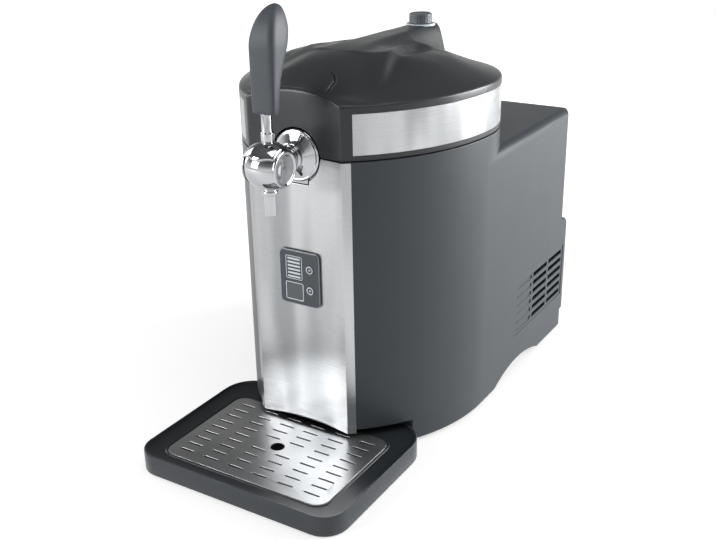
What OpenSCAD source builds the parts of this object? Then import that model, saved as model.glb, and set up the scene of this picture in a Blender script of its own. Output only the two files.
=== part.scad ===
// Countertop cooler and tap for a five litre party keg.
// The front faces -Y, the side vents are at the left and right, and the floor is at z = 0.
// Heights are above the floor.  Depths are measured from the widest section of the barrel.

/* [Casing] */
// Width of the casing
body_w = 250; // [244:1:264]
// Radius of the two curved flanks that meet the front face
flank_r = 184; // [176:1:192]
// Radius of the lid's rear corners
rear_r = 102; // [96:1:108]
// Half width of the front face
face_half = 50; // [46:1:54]
// Hollow of the front face at its middle
face_sag = 4; // [2:0.5:6]
// Depth from the widest section to the upper back
back_y = 221; // [212:1:235]
// Extra depth of the lower back
back_step = 16; // [8:1:24]
// Height where the lower back starts
step_z = 130; // [122:1:145]
// Height of the rear housing's top
box_top = 277; // [268:1:279]
// Rounding of the rear housing's top edges
box_round = 10; // [4:1:16]
// Rounding of the casing's rear corners
corner_r = 12; // [6:1:18]
// Height of the seam between base and casing
base_z = 27.5; // [25:0.5:29]
// Height of the seam between casing and lid
seam_z = 297; // [295:1:300]
// Wall of the casing
wall = 3; // [2.5:0.5:4]
// Gap between pieces that lie side by side
gap = 0.3; // [0.2:0.05:0.5]

/* [Base] */
// Inset of the base under the casing
base_inset = 2; // [1:0.5:5]
// Depth at which the base starts behind the tray
base_front = 98; // [94:1:105]
// Length of the finger arch in each side of the base
arch_len = 120; // [90:1:130]
// Height of the finger arch above the feet
arch_h = 12; // [8:0.5:14]
// Depth of the middle of the finger arch
arch_y = 97; // [85:1:110]
// Radius of a rubber foot
foot_r = 10; // [7:0.5:12]
// Height of a rubber foot below the base
foot_h = 3.5; // [2:0.5:5]

/* [Drip tray] */
// Half width of the tray
tray_half = 114; // [104:1:118]
// Depth of the tray's front edge
tray_reach = 274; // [266:1:285]
// Height of the tray's rim
tray_rim = 21.5; // [19:0.5:22]
// Rounding of the tray's front corners
tray_r = 24; // [14:1:30]
// Rounding of the tray's rear corners
tray_rear_r = 34; // [24:1:40]
// Half width of the drip grille
grille_half = 91; // [84:1:95]
// Depth of the drip grille
grille_len = 122; // [112:1:128]
// Thickness of the drip grille
grille_t = 1.2; // [0.8:0.1:2]
// Length of a slot in the drip grille
slot_len = 17; // [12:0.5:20]
// Width of a slot in the drip grille
slot_w = 2.2; // [1.5:0.1:3]
// Pitch of the slots from front to back
slot_pitch = 12; // [10:0.5:13]
// Radius of the drain hole in the drip grille
drain_r = 7; // [4:0.5:8]

/* [Lid] */
// Height of the lid's upper rim
rim_z = 347; // [344:1:352]
// Height of the lid's middle above the rim
dome_h = 31.5; // [26:0.5:33]
// Height of the raised rib above the rim
rib_h = 34.5; // [33:0.5:40]
// Rise of the front face's top above the rim
brow_h = 9; // [7:0.5:12]
// Half width of the rib's rear end
hump_half = 17; // [16:0.5:20]
// Depth of the hinge pin behind the widest section
hinge_y = 118; // [116:1:124]
// Height of the hinge pin
hinge_z = 289; // [286:0.5:290]
// Radius of the hinge pin
hinge_r = 2.5; // [2:0.25:3]
// Width of the steel band let into the lid
band_h = 37; // [30:1:40]
// Height of the steel band's lower edge above the seam
band_rise = 6; // [4:0.5:8]
// Thickness of the steel band
band_t = 0.8; // [0.5:0.1:1.2]
// Height of the visible seam under the lid
lid_gap = 1.2; // [0.8:0.1:2]
// Travel of the lid release button
release_travel = 4; // [2:0.5:5]

/* [Front panel] */
// Thickness of the steel front panel
panel_t = 1; // [0.6:0.1:1.4]
// Half width of the panel including its wrapped edges
panel_half = 57; // [55:0.5:60]
// Height of the panel's lower edge
panel_z = 23; // [22.5:0.5:25]
// Half width of the control plate
ctl_half = 22; // [20:0.5:25]
// Height of the control plate
ctl_h = 54; // [50:1:60]
// Height of the control plate's middle
ctl_z = 177.5; // [140:0.5:200]
// Thickness of the control plate
ctl_t = 2.4; // [1.6:0.1:3]
// Radius of a touch button
key_r = 4.2; // [3.4:0.1:4.8]
// Travel of a touch button
key_travel = 0.6; // [0.3:0.1:1]

/* [Tap] */
// Height of the tap's axis above the casing's seam
tap_rise = 0; // [0:0.1:0.5]
// Depth of the lever's turning axis
tap_y = 186; // [183:1:190]
// Radius of the round flange
flange_r = 24.5; // [22:0.5:25.5]
// Radius of the threaded shank
shank_r = 9; // [8:0.5:9.5]
// Bore of the shank
beer_r = 3.5; // [2.5:0.25:4]
// Largest radius of the tap's barrel
drum_r = 20.5; // [19:0.5:21.5]
// Radius of the barrel at its ends
drum_end_r = 16; // [14:0.5:17]
// Half length of the tap's barrel
drum_half = 15.5; // [14:0.5:17]
// Outer radius of the spout
spout_r = 5.8; // [5:0.1:6.4]
// Height of the spout's mouth
spout_z = 253; // [245:1:262]
// Radius of the lever's stem
stem_r = 4.7; // [4:0.1:5.2]
// Height of the handle's lower end
handle_z = 344; // [340:1:348]
// Length of the handle
handle_len = 89.5; // [80:1:105]
// Width of the handle at its widest
handle_w = 28; // [24:0.5:32]
// Angle through which the lever is pulled forward
lever_pull = 40; // [25:1:45]

/* [Regulator] */
// Radius of the pressure knob
knob_r = 12; // [10:0.1:12.5]
// Height of the pressure knob
knob_h = 10; // [8:0.5:14]
// Depth of the pressure knob behind the widest section
knob_y = 90; // [84:1:91]
// Radius of the gas cartridge
gas_r = 9; // [8:0.5:9.5]
// Length of the gas cartridge
gas_len = 62; // [54:1:66]

/* [Cooling] */
// Inner radius of the keg well
well_r = 85; // [84:0.5:86]
// Height of the keg well's floor
well_z = 38; // [36:1:42]
// Wall of the keg well
well_t = 1.5; // [1:0.1:2]
// Shift of the keg well towards the front
well_y = 9; // [7:1:10]
// Width and height of the heat sink
sink_w = 120; // [108:2:124]
// Length of a heat sink fin
fin_len = 24; // [16:1:28]
// Number of heat sink fins
fins = 15; // [9:1:17]
// Width of the fan frame
fan_w = 92; // [84:1:100]
// Depth of the fan
fan_t = 25; // [22:1:26]
// Height of the fan's axis
fan_z = 172; // [165:1:180]
// Number of fan blades
blades = 7; // [5:1:9]

/* [Hidden] */

$fn = 64;
hw = body_w / 2;
low_y = back_y + back_step; // depth of the lower back
y_mid = (tray_reach - low_y) / 2; // the origin stands under the middle of the outline
run = 0.05; // radial clearance of a shaft in its bore
far = 400; // longer than any cut

// Colours
dark = "#434a50";
lid_grey = "#45494c";
black = "#2b2f36";
steel = "#c9cccd";
chrome = "#dfe2e4";
handle_grey = "#5f676e";
rubber = "#222222";
alloy = "#b4b8bb";
mark = "#d8dde0";

// ---- plan of the casing ----
// Flanks: two arcs about (-/+flank_c, 0).  Rear of the lid: corner arcs, then an arc about (0, -tail_c).
flank_c = flank_r - hw;
corner_c = hw - rear_r;
tail_turn = 60;
tail_c = corner_c * tan(tail_turn);
tail_r = rear_r + corner_c / cos(tail_turn);
lid_back = tail_r - tail_c;
face_y = -sqrt(pow(flank_r, 2) - pow(face_half + flank_c, 2));
face_r = (pow(face_half, 2) + pow(face_sag, 2)) / (2 * face_sag);
face_c = face_y + face_sag - face_r;

// Where flank and hollow face meet when both are moved in by d
function meet(d) =
    let (ra = flank_r - d, rb = face_r + d, dist = norm([flank_c, face_c]),
         ux = flank_c / dist, uy = face_c / dist,
         a = (ra * ra - rb * rb + dist * dist) / (2 * dist), h = sqrt(ra * ra - a * a))
    [-flank_c + a * ux - h * uy, a * uy + h * ux];
function arc(c, r, a0, a1, n) =
    [for (i = [0 : n]) let (a = a0 + (a1 - a0) * i / n) c + r * [cos(a), sin(a)]];
function tail(p) = [for (i = [1 : len(p) - 1]) p[i]];
function mirrored(p) = [for (i = [len(p) - 1 : -1 : 0]) [-p[i].x, p[i].y]];
function face_at(x, d = 0) = face_c + sqrt(pow(face_r + d, 2) - x * x);
function face_pts(d, n = 14) =
    let (m = meet(d)) [for (i = [1 : n - 1]) let (x = -m.x + 2 * m.x * i / n) [x, face_at(x, d)]];
function flank_pts(d, n = 20) =
    let (m = meet(d)) arc([-flank_c, 0], flank_r - d, atan2(m.y, m.x + flank_c), 0, n);
function tail_pts(d, n = 14) = concat(
    tail(arc([corner_c, 0], rear_r - d, 0, tail_turn, n)),
    tail(arc([0, -tail_c], tail_r - d, tail_turn, 90, n / 2)));
function lid_pts(d) =
    let (right = concat(flank_pts(d), tail_pts(d))) concat(face_pts(d), right, tail(mirrored(right)));
function casing_pts(d, back) =
    let (right = concat(flank_pts(d), arc([hw - corner_r, back - corner_r], corner_r - d, 0, 90, 6)))
    concat(face_pts(d), right, mirrored(right));

// ---- helpers ----
module part(c) { color(c) translate([0, y_mid, 0]) children(); }
module slab(pts, z0, z1) { translate([0, 0, z0]) linear_extrude(z1 - z0) polygon(pts); }
module block(x0, x1, y0, y1, z0, z1) { translate([x0, y0, z0]) cube([x1 - x0, y1 - y0, z1 - z0]); }
module rod_x(r, x0, x1, y, z) { translate([x0, y, z]) rotate([0, 90, 0]) cylinder(r = r, h = x1 - x0); }
module rod_y(r, y0, y1, x, z) { translate([x, y0, z]) rotate([-90, 0, 0]) cylinder(r = r, h = y1 - y0); }
module rod_z(r, z0, z1, x, y) { translate([x, y, z0]) cylinder(r = r, h = z1 - z0); }
module plate_y(y0, y1, z) { translate([0, y1, z]) rotate([90, 0, 0]) linear_extrude(y1 - y0) children(); }
module pair() { children(); mirror([1, 0, 0]) children(); }
module rounded(w, h, r) {
    // outline of a plate with round corners
    square([w - 2 * r, h], center = true);
    square([w, h - 2 * r], center = true);
    for (sx = [-1, 1], sy = [-1, 1]) translate([sx * (w / 2 - r), sy * (h / 2 - r)]) circle(r);
}

// ---- lid surface ----
dome_reach = 68; // distance from the rim at which the dome is level
dome_power = 1.2; // 1 is a straight roof, 2 a round dome
dome_fall = 0.4; // how much lower the dome is at the rear
fall_y = -40; // depth at which the dome starts to fall
fall_len = 150;
rib_soft = 3; // softness of the valley beside the rib
rib_drop = 1; // fall of the hump's top from its middle to its edges
rib_side = 1.4; // slope of the rib's sides at the front
hump_side = 3; // slope of the hump's sides
soft_edge = 10; // distance from the rim over which the softness fades in
rim_step = wall; // height of the dome's own edge
function clamp01(t) = min(1, max(0, t));
function front_at(x, d) =
    let (m = meet(d)) abs(x) < m.x ? face_at(x, d) : -sqrt(pow(flank_r - d, 2) - pow(abs(x) + flank_c, 2));
tail_x = tail_r * cos(tail_turn);
function back_at(x, d) =
    let (ax = abs(x)) ax > corner_c + (rear_r - d) * cos(tail_turn)
    ? sqrt(pow(rear_r - d, 2) - pow(ax - corner_c, 2)) : sqrt(pow(tail_r - d, 2) - ax * ax) - tail_c;
function rim_dist(x, y) =
    let (ax = abs(x))
    y < 0 ? flank_r - norm([ax + flank_c, y])
    : ax > corner_c && atan2(y, ax - corner_c) < tail_turn ? rear_r - norm([ax - corner_c, y])
    : tail_r - norm([ax, y + tail_c]);
function along(y) = clamp01((y - face_y) / -face_y);
function dome_z(x, y) =
    let (t = 1 - clamp01(rim_dist(x, y) / dome_reach), f = clamp01((y - fall_y) / fall_len))
    rim_z + dome_h * (1 - pow(t, dome_power)) * (1 - dome_fall * f);
function rib_half(y) = hump_half + (face_half - hump_half) * pow(1 - along(y), 2.2);
function rib_z(x, y) =
    let (t = along(y), half = rib_half(y), crest = rim_z + brow_h + (rib_h - brow_h) * (1 - pow(1 - t, 4)),
         drop = rib_drop + (brow_h - rib_drop) * pow(1 - t, 2))
    crest - drop * pow(x / half, 2) - (rib_side + (hump_side - rib_side) * t * t) * max(0, abs(x) - half);
function lid_z(x, y) =
    let (a = dome_z(x, y), b = rib_z(x, y))
    max(a, b) + rib_soft * ln(1 + exp(-abs(a - b) / rib_soft)) * clamp01(rim_dist(x, y) / soft_edge);

// Grid of points over the lid's plan: columns across X, rows from front to back
rib_cols = [0, 0.4, 0.7, 0.9, 1.05, 1.2, 1.4, 1.8, 2.3];
side_cols = 9;
half_cols = concat(hump_half * rib_cols,
                   [for (i = [0 : side_cols]) let (x0 = 2.9 * hump_half, a = 90 * i / side_cols)
                    x0 + (hw - 0.05 - x0) * sin(a)]);
grid_x = concat([for (i = [len(half_cols) - 1 : -1 : 1]) -half_cols[i]], half_cols);
rows = 22;
function grid_pts(d, lift) =
    [for (gx = grid_x) let (x = gx * (hw - d) / hw, y0 = front_at(x, d), y1 = back_at(x, d))
        for (k = [0 : rows]) let (y = y0 + (y1 - y0) * k / rows) [x, y, lid_z(x, y) + lift]];
function grid_loop(n, k) = concat(
    [for (i = [0 : n - 1]) i * (k + 1)], [for (j = [1 : k]) (n - 1) * (k + 1) + j],
    [for (i = [n - 2 : -1 : 0]) i * (k + 1) + k], [for (j = [k - 1 : -1 : 1]) j]);
module lid_skin(lift, thick, foot_z) {
    // domed shell with a vertical edge that ends at foot_z
    n = len(grid_x);
    top = grid_pts(0, lift);
    under = grid_pts(wall, lift - thick);
    loop = grid_loop(n, rows);
    m = len(loop);
    outer = [for (i = loop) [top[i].x, top[i].y, foot_z]];
    inner = [for (i = loop) [under[i].x, under[i].y, foot_z]];
    u = len(top);
    o = 2 * u;
    p = o + m;
    quads = [for (i = [0 : n - 2], j = [0 : rows - 1]) let (a = i * (rows + 1) + j)
        [a, a + 1, a + rows + 2, a + rows + 1]];
    faces = concat(
        [for (q = quads) each [[q[0], q[1], q[2]], [q[0], q[2], q[3]]]],
        [for (q = quads) each [[u + q[2], u + q[1], u + q[0]], [u + q[3], u + q[2], u + q[0]]]],
        [for (i = [0 : m - 1]) let (j = (i + 1) % m) each
            [[loop[i], loop[j], o + j], [loop[i], o + j, o + i],
             [o + i, o + j, p + j], [o + i, p + j, p + i],
             [p + i, p + j, u + loop[j]], [p + i, u + loop[j], u + loop[i]]]]);
    polyhedron(points = concat(top, under, outer, inner), faces = faces);
}

// ---- casing ----
shell_floor = base_z + wall;
tap_z = seam_z + tap_rise;
mid_face = face_y + face_sag; // depth of the face's middle
notch_half = 12.5;
notch_out = 20; // reach of the notch's cut in front of the face
notch_in = 25; // reach of the notch's cut behind the face
notch_r = flange_r + 1.5;
notch_z = tap_z - notch_r - 1;
wrap_y = front_at(panel_half, 0);
deck_t = 5;
deck_z = seam_z - deck_t;
vent_y0 = 82;
vent_y1 = low_y - 17;
vent_z0 = 40;
vent_z1 = 112;
lip = 3; // overlap of a let-in grille on its opening
open_half = 84;
open_edge = 12; // distance of the rear opening above the step
open_drop = 40; // distance of the rear opening from the top
open_z0 = step_z + back_step + open_edge;
open_z1 = box_top - open_drop;
inlet_x = -62;
inlet_z = 62;
inlet_w = 28;
inlet_h = 22;
catch_x = 28;
catch_w = 6;
catch_set = 21.2; // depth of a latch leg behind the edges of the front face
catch_y = face_y + catch_set;

module casing_body(d, z0, top) {
    // barrel, rear housing with rounded top edges, and the deeper lower back
    slab(lid_pts(d), z0, top);
    intersection() {
        slab(casing_pts(d, back_y), z0, box_top - d);
        translate([0, far, (box_top - d) / 2]) rotate([90, 0, 0]) linear_extrude(2 * far)
            rounded(body_w - 2 * d, box_top - d, box_round - d / 2);
    }
    intersection() {
        slab(casing_pts(d, low_y), z0, step_z + back_step);
        translate([-hw, 0, 0]) rotate([90, 0, 90]) linear_extrude(body_w)
            polygon([[-20, 0], [low_y, 0], [low_y, step_z - d / 2],
                     [back_y - d, step_z + back_step - d / 2], [-20, step_z + back_step - d / 2]]);
    }
}
module panel_zone(d, z0, z1) {
    // the part of the outline that the steel panel wraps
    intersection() {
        slab(lid_pts(d), z0, z1);
        block(-hw, hw, -far, wrap_y, z0, z1);
    }
}
module tap_notch(grow) {
    rod_y(notch_r + grow, face_y - notch_out, face_y + notch_in, 0, tap_z);
    block(-notch_half - grow, notch_half + grow, face_y - notch_out, face_y + notch_in, notch_z - grow, tap_z);
}
module control_pocket() {
    plate_y(face_y - 20, face_y + 20, ctl_z) rounded(2 * (ctl_half - lip), ctl_h - 2 * lip, 4);
}
module body_shell() part(dark) difference() {
    casing_body(0, base_z, seam_z);
    casing_body(wall, shell_floor, seam_z + 1);
    difference() {
        panel_zone(-5, base_z - 1, seam_z + 1);
        slab(lid_pts(panel_t + gap), base_z - 2, seam_z + 2);
    }
    tap_notch(0);
    control_pocket();
    pair() block(hw - 8, hw + 8, vent_y0, vent_y1, vent_z0, vent_z1);
    block(-open_half, open_half, back_y - 12, back_y + 1, open_z0, open_z1);
    block(inlet_x - inlet_w / 2, inlet_x + inlet_w / 2, low_y - 12, low_y + 1,
          inlet_z - inlet_h / 2, inlet_z + inlet_h / 2);
    for (x = screw_xs, z = screw_zs) rod_y(screw_r + run, back_y - cover_edge, back_y + 1, x, z);
}

// ---- base and feet ----
foot_x = 84;
foot_front = 68; // depth of the front feet in front of the widest section
foot_back = 32; // distance of the rear feet from the back
foot_ys = [-foot_front, low_y - foot_back];
socket_t = 3; // depth of a foot's socket
arch_r = (pow(arch_len / 2, 2) + pow(arch_h, 2)) / (2 * arch_h);
tray_back = base_front + 0.6;
runner_x = 52;
runner_w = 16;
runner_h = 4;
runner_z = 9;
runner_len = 26;
module base() part(black) difference() {
    intersection() {
        slab(casing_pts(base_inset, low_y), foot_h, base_z);
        block(-hw, hw, -base_front, low_y - base_inset, foot_h, base_z);
    }
    difference() {
        intersection() {
            slab(casing_pts(base_inset + wall, low_y - base_inset), foot_h - 1, base_z - wall);
            block(-hw, hw, -base_front + wall, far, foot_h - 1, base_z - wall);
        }
        pair() for (y = foot_ys) rod_z(foot_r + wall, 0, base_z, foot_x, y);
    }
    rod_x(arch_r, -hw - 1, hw + 1, arch_y, foot_h + arch_h - arch_r);
    pair() for (y = foot_ys) rod_z(foot_r + run, 0, foot_h + socket_t, foot_x, y);
    pair() block(runner_x - runner_w / 2 - gap, runner_x + runner_w / 2 + gap, -base_front - 1,
                 -base_front + wall + 1, runner_z - gap, runner_z + runner_h + gap);
}
module rubber_feet() part(rubber)
    pair() for (y = foot_ys) rod_z(foot_r, 0, foot_h + socket_t, foot_x, y);

// ---- drip tray ----
tray_z = 1; // height of the tray's underside
tray_floor_t = 3; // thickness of the floor let into the tray's rim
tray_wall = 3;
grille_rim = 5; // ledge under the grille's edge
grille_y = -tray_reach + 17 + grille_len / 2;
grille_z = tray_rim - 3.5;
module tray_shape(d) {
    len_y = tray_reach - tray_back;
    translate([0, -tray_reach]) {
        translate([-tray_half + tray_r, d]) square([2 * (tray_half - tray_r), len_y / 2]);
        translate([-tray_half + d, tray_r]) square([2 * (tray_half - d), len_y - tray_r - tray_rear_r]);
        translate([-tray_half + tray_rear_r, len_y / 2])
            square([2 * (tray_half - tray_rear_r), len_y / 2 - d]);
        for (s = [-1, 1]) {
            translate([s * (tray_half - tray_r), tray_r]) circle(tray_r - d);
            translate([s * (tray_half - tray_rear_r), len_y - tray_rear_r]) circle(tray_rear_r - d);
        }
    }
}
grille_r = 12;
module grille_shape(d) {
    translate([0, grille_y]) rounded(2 * (grille_half - d), grille_len - 2 * d, grille_r - d);
}
module drip_tray() part(black) {
    difference() {
        translate([0, 0, tray_z]) linear_extrude(tray_rim - tray_z) tray_shape(0);
        linear_extrude(far) grille_shape(grille_rim);
        translate([0, 0, grille_z - gap]) linear_extrude(far) grille_shape(-gap);
        translate([0, 0, tray_rim - 1.5]) linear_extrude(far) tray_shape(tray_wall);
    }
    pair() block(runner_x - runner_w / 2, runner_x + runner_w / 2, -tray_back - 2,
                 -tray_back + runner_len, runner_z, runner_z + runner_h);
}
module tray_floor() part(black)
    translate([0, 0, tray_z]) linear_extrude(tray_floor_t) grille_shape(grille_rim);
slot_cols = [14, 43, 72];
slot_rows = 4;
module drip_grille() part(steel) difference() {
    translate([0, 0, grille_z]) linear_extrude(grille_t) grille_shape(0);
    for (row = [-slot_rows : slot_rows], s = [-1, 1], x = slot_cols)
        if (!(row == 0 && x == slot_cols[0]))
            translate([s * x, grille_y + row * slot_pitch, grille_z - 1])
                linear_extrude(grille_t + 2) {
                    square([slot_len - slot_w, slot_w], center = true);
                    for (e = [-1, 1])
                        translate([e * (slot_len - slot_w) / 2, 0]) circle(slot_w / 2, $fn = 20);
                }
    rod_z(drain_r, grille_z - 1, tray_rim, 0, grille_y);
}

// ---- vents and rear cover ----
vent_rows = 6;
vent_cols = 3;
vent_frame = 4;
vent_bar = 4.8; // height of the bar between two slots
vent_rib = 5; // width of the rib between two columns
vent_t = 2;
module slots(y0, y1, z0, z1, n, bar) {
    pitch = (z1 - z0) / n;
    for (i = [0 : n - 1])
        block(-far, far, y0, y1, z0 + i * pitch + bar / 2, z0 + (i + 1) * pitch - bar / 2);
}
module vent_plate() {
    pitch = (vent_y1 - vent_y0 - 2 * vent_frame + vent_rib) / vent_cols;
    difference() {
        union() {
            block(hw - wall, hw - 0.6, vent_y0 + gap, vent_y1 - gap, vent_z0 + gap, vent_z1 - gap);
            block(hw - wall - vent_t, hw - wall, vent_y0 - lip, vent_y1 + lip / 2,
                  vent_z0 - lip, vent_z1 + lip);
        }
        for (i = [0 : vent_cols - 1])
            slots(vent_y0 + vent_frame + i * pitch, vent_y0 + vent_frame + (i + 1) * pitch - vent_rib,
                  vent_z0 + vent_frame, vent_z1 - vent_frame, vent_rows, vent_bar);
    }
}
module vent_grille_right() part(black) vent_plate();
module vent_grille_left() part(black) mirror([1, 0, 0]) vent_plate();

cover_t = 2.5;
cover_edge = 9; // overlap of the rear cover on the casing
screw_r = 1.6;
screw_head = 3.2;
screw_top = 2;
cover_half = open_half + cover_edge;
screw_xs = [-open_half - cover_edge / 2, open_half + cover_edge / 2];
cover_in = 8; // distance of the slots and screws from the opening's edges
screw_zs = [open_z0 + cover_in, open_z1 - cover_in];
cover_rows = 8;
cover_cols = [-54, 0, 54];
cover_slot = 46;
cover_bar = 4;
module rear_cover() part(black) difference() {
    union() {
        block(-cover_half, cover_half, back_y, back_y + cover_t, open_z0 - cover_edge, open_z1 + cover_edge);
        block(-open_half + gap, open_half - gap, back_y - wall, back_y, open_z0 + gap, open_z1 - gap);
    }
    for (x = cover_cols) rotate([0, 0, 90])
        slots(-x - cover_slot / 2, -x + cover_slot / 2, open_z0 + cover_in, open_z1 - cover_in, cover_rows,
              cover_bar);
    for (x = screw_xs, z = screw_zs) rod_y(screw_r + run, back_y - cover_edge, back_y + cover_t + 1, x, z);
}
module rear_screws() part(steel) for (x = screw_xs, z = screw_zs) {
    rod_y(screw_head, back_y + cover_t, back_y + cover_t + screw_top, x, z);
    rod_y(screw_r, back_y - wall, back_y + cover_t, x, z);
}

// ---- front panel and controls ----
module front_panel() part(steel) difference() {
    panel_zone(0, panel_z, seam_z - 0.4);
    slab(lid_pts(panel_t), panel_z - 1, seam_z + 1);
    tap_notch(0);
    control_pocket();
}
ctl_back = face_at(ctl_half) - 0.1; // back of the flat plate, clear of the hollow panel
ctl_front = ctl_back - ctl_t;
ctl_skin = 0.8; // plate left behind the panel's face
ctl_boss = 9;
key_lip = 1.2;
ctl_pocket = ctl_half - lip - 1.8; // half width of the hollow behind the plate
key_x = ctl_pocket - key_r - key_lip - gap;
key_zs = [ctl_z + 10.5, ctl_z - 10.5];
key_out = 0.4;
key_back = ctl_back + ctl_skin + gap + key_lip;
window = [-16, 4, ctl_z - 23, ctl_z - 5];
module control_plate() part(black) difference() {
    union() {
        plate_y(ctl_front, ctl_back, ctl_z) rounded(2 * ctl_half, ctl_h, 6);
        plate_y(ctl_back, ctl_back + ctl_boss, ctl_z)
            rounded(2 * (ctl_half - lip - gap), ctl_h - 2 * (lip + gap), 4 - gap);
    }
    plate_y(ctl_back + ctl_skin, ctl_back + ctl_boss + 1, ctl_z)
        square([2 * ctl_pocket, ctl_h - 4 * lip], center = true);
    for (z = key_zs) rod_y(key_r + run, ctl_front - 1, ctl_back + 2, key_x, z);
    block(window[0], window[1], ctl_front - 1, ctl_front + 1, window[2], window[3]);
}
module display_window() part(black)
    block(window[0] + 0.1, window[1] - 0.1, ctl_front - 0.2, ctl_front + 1, window[2] + 0.1, window[3] - 0.1);
gauge_bars = 6;
gauge_pitch = 3.6;
module level_gauge() part(mark) for (i = [0 : gauge_bars - 1])
    block(-13, 1, ctl_front - 0.4, ctl_front, ctl_z + i * gauge_pitch, ctl_z + (i + 0.5) * gauge_pitch);
module key(z) {
    rod_y(key_r, ctl_front - key_out, key_back, key_x, z);
    rod_y(key_r + key_lip, key_back - key_lip, key_back, key_x, z);
}
module power_button() part(mark) key(key_zs[0]);
module cooling_button() part(mark) key(key_zs[1]);
board_t = 1.6;
module control_board() part("#2f6b3c")
    plate_y(key_back + key_travel + gap, key_back + key_travel + gap + board_t, ctl_z)
        square([2 * (ctl_half - 2 * lip - gap), ctl_h - 4 * lip - 2 * gap], center = true);

// ---- deck around the keg well ----
line_half = 15.5; // half width of the channel for the tap's line
bracket_y = mid_face + wall + gap; // front of the tap bracket
bracket_t = 6;
bracket_half = 34;
ear_half = 23; // half width of the bracket above the deck
keeper_t = 1.5;
keeper_len = 7;
leg_t = 4; // thickness of a latch leg
leg_y = [catch_y, catch_y + leg_t];
hook = 3.2; // reach of the latch under its keeper
slot_pad = 1; // room around a latch leg
module top_deck() part(black) difference() {
    slab(lid_pts(wall + gap), deck_z, seam_z);
    rod_z(well_r, deck_z - 1, seam_z + 1, 0, -well_y);
    block(-line_half, line_half, -far, -well_y, deck_z - 1, seam_z + 1);
    block(-bracket_half - gap, bracket_half + gap, -far, bracket_y + bracket_t + gap, deck_z - 1, seam_z + 1);
    pair() block(catch_x - slot_pad, catch_x + catch_w + slot_pad, leg_y[0] - hook - slot_pad,
                 leg_y[1] + release_travel + slot_pad, deck_z - 1, seam_z + 1);
}
module latch_keeper() part(steel)
    pair() block(catch_x - 2 * leg_t, catch_x + catch_w + leg_t,
                 leg_y[0] - keeper_len, leg_y[0] - gap, deck_z - keeper_t, deck_z);

// ---- lid ----
ring_z = seam_z + lid_gap;
ring_top = rim_z - rim_step;
band_z = seam_z + band_rise;
arm_x = 30;
arm_w = 10;
knuckle_r = 5.5;
arm_h = 18; // height of a hinge arm on the ring
arm_y = lid_back + 0.8; // front of the arm, clear of the casing under it
arm_root = lid_back - wall - 4;
band_end = 26; // distance of a band's end from the lid's back
module lid_ring() part(dark) difference() {
    union() {
        difference() {
            slab(lid_pts(0), ring_z, ring_top);
            slab(lid_pts(wall), ring_z - 1, ring_top + 1);
        }
        // arms that carry the hinge
        pair() difference() {
            union() {
                rod_x(knuckle_r, arm_x, arm_x + arm_w, hinge_y, hinge_z);
                block(arm_x, arm_x + arm_w, arm_y, hinge_y + knuckle_r, hinge_z, ring_z + arm_h);
                block(arm_x, arm_x + arm_w, arm_root, hinge_y, ring_z + 2, ring_z + arm_h);
            }
            slab(lid_pts(wall), ring_z - 1, ring_z + arm_h + 1);
        }
    }
    pair() rod_x(hinge_r + run, arm_x - 1, arm_x + arm_w + 1, hinge_y, hinge_z);
    rod_y(notch_r, face_y - notch_out, face_y + notch_in, 0, tap_z);
    band_cut(band_t + gap / 2, band_z - gap / 2, band_z + band_h + gap / 2);
}
module band_cut(d, z0, z1) {
    // strip of the rim behind the panel's wrapped edge
    difference() {
        intersection() {
            slab(lid_pts(-1), z0, z1);
            block(-far, far, wrap_y + 1, lid_back - band_end, z0, z1);
        }
        slab(lid_pts(d), z0 - 1, z1 + 1);
    }
}
module lid_band() {
    intersection() {
        difference() {
            slab(lid_pts(0), band_z, band_z + band_h);
            slab(lid_pts(band_t), band_z - 1, band_z + band_h + 1);
        }
        block(0, far, wrap_y + 1 + gap, lid_back - band_end - gap, band_z, band_z + band_h);
    }
}
module lid_band_right() part(steel) lid_band();
module lid_band_left() part(steel) mirror([1, 0, 0]) lid_band();

collar_r = 15.5;
collar_t = 2;
hump_z = rim_z + rib_h;
collar_z = hump_z - 1.5; // seat of the knob's collar
neck_r = 6;
release_half = 29;
release_len = 42; // depth of the button behind the edges of the front face
release_round = 12;
release_gap = 0.6;
release_inset = 8; // depth of the stem in front of the button's back edge
release_rise = 1.2; // how far the button stands over the lid
release_back = face_y + release_len;
release_front = mid_face + 3.2;
module release_shape(d) {
    // broad tongue with a round back edge
    r = release_round;
    translate([-release_half + d, release_front + d])
        square([2 * (release_half - d), release_back - r - release_front - d]);
    translate([-release_half + r, release_front + d])
        square([2 * (release_half - r), release_back - release_front - 2 * d]);
    for (s = [-1, 1]) translate([s * (release_half - r), release_back - r]) circle(r - d);
}
module lid_dome() part(lid_grey) difference() {
    lid_skin(0, wall, ring_top);
    translate([0, 0, ring_top + 1]) linear_extrude(far) release_shape(-release_gap);
    rod_z(collar_r + gap, collar_z, far, 0, knob_y);
    rod_z(neck_r + gap, ring_top, far, 0, knob_y);
}
module lid_release_button() part(lid_grey) {
    intersection() {
        lid_skin(release_rise, wall, ring_top);
        translate([0, 0, ring_top + 1]) linear_extrude(far) release_shape(0);
    }
    // stem that presses on the latch, with a collar for the spring
    rod_z(stem_half, plunger_z, lid_z(0, spring_y) - 1, 0, spring_y);
    rod_z(coil_r + coil_lip, coil_top + gap, coil_top + gap + 2, 0, spring_y);
}
liner_drop = 13;
liner_z = ring_top - liner_drop; // underside of the liner's plate
liner_t = 3;
spring_y = release_back - release_inset;
stem_half = 4; // radius of the button's stem
skirt_r = 92;
skirt_t = 5;
seal_h = 3;
line_gap = line_half + 1;
line_roof = 4; // skirt left over the tap's line
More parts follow.
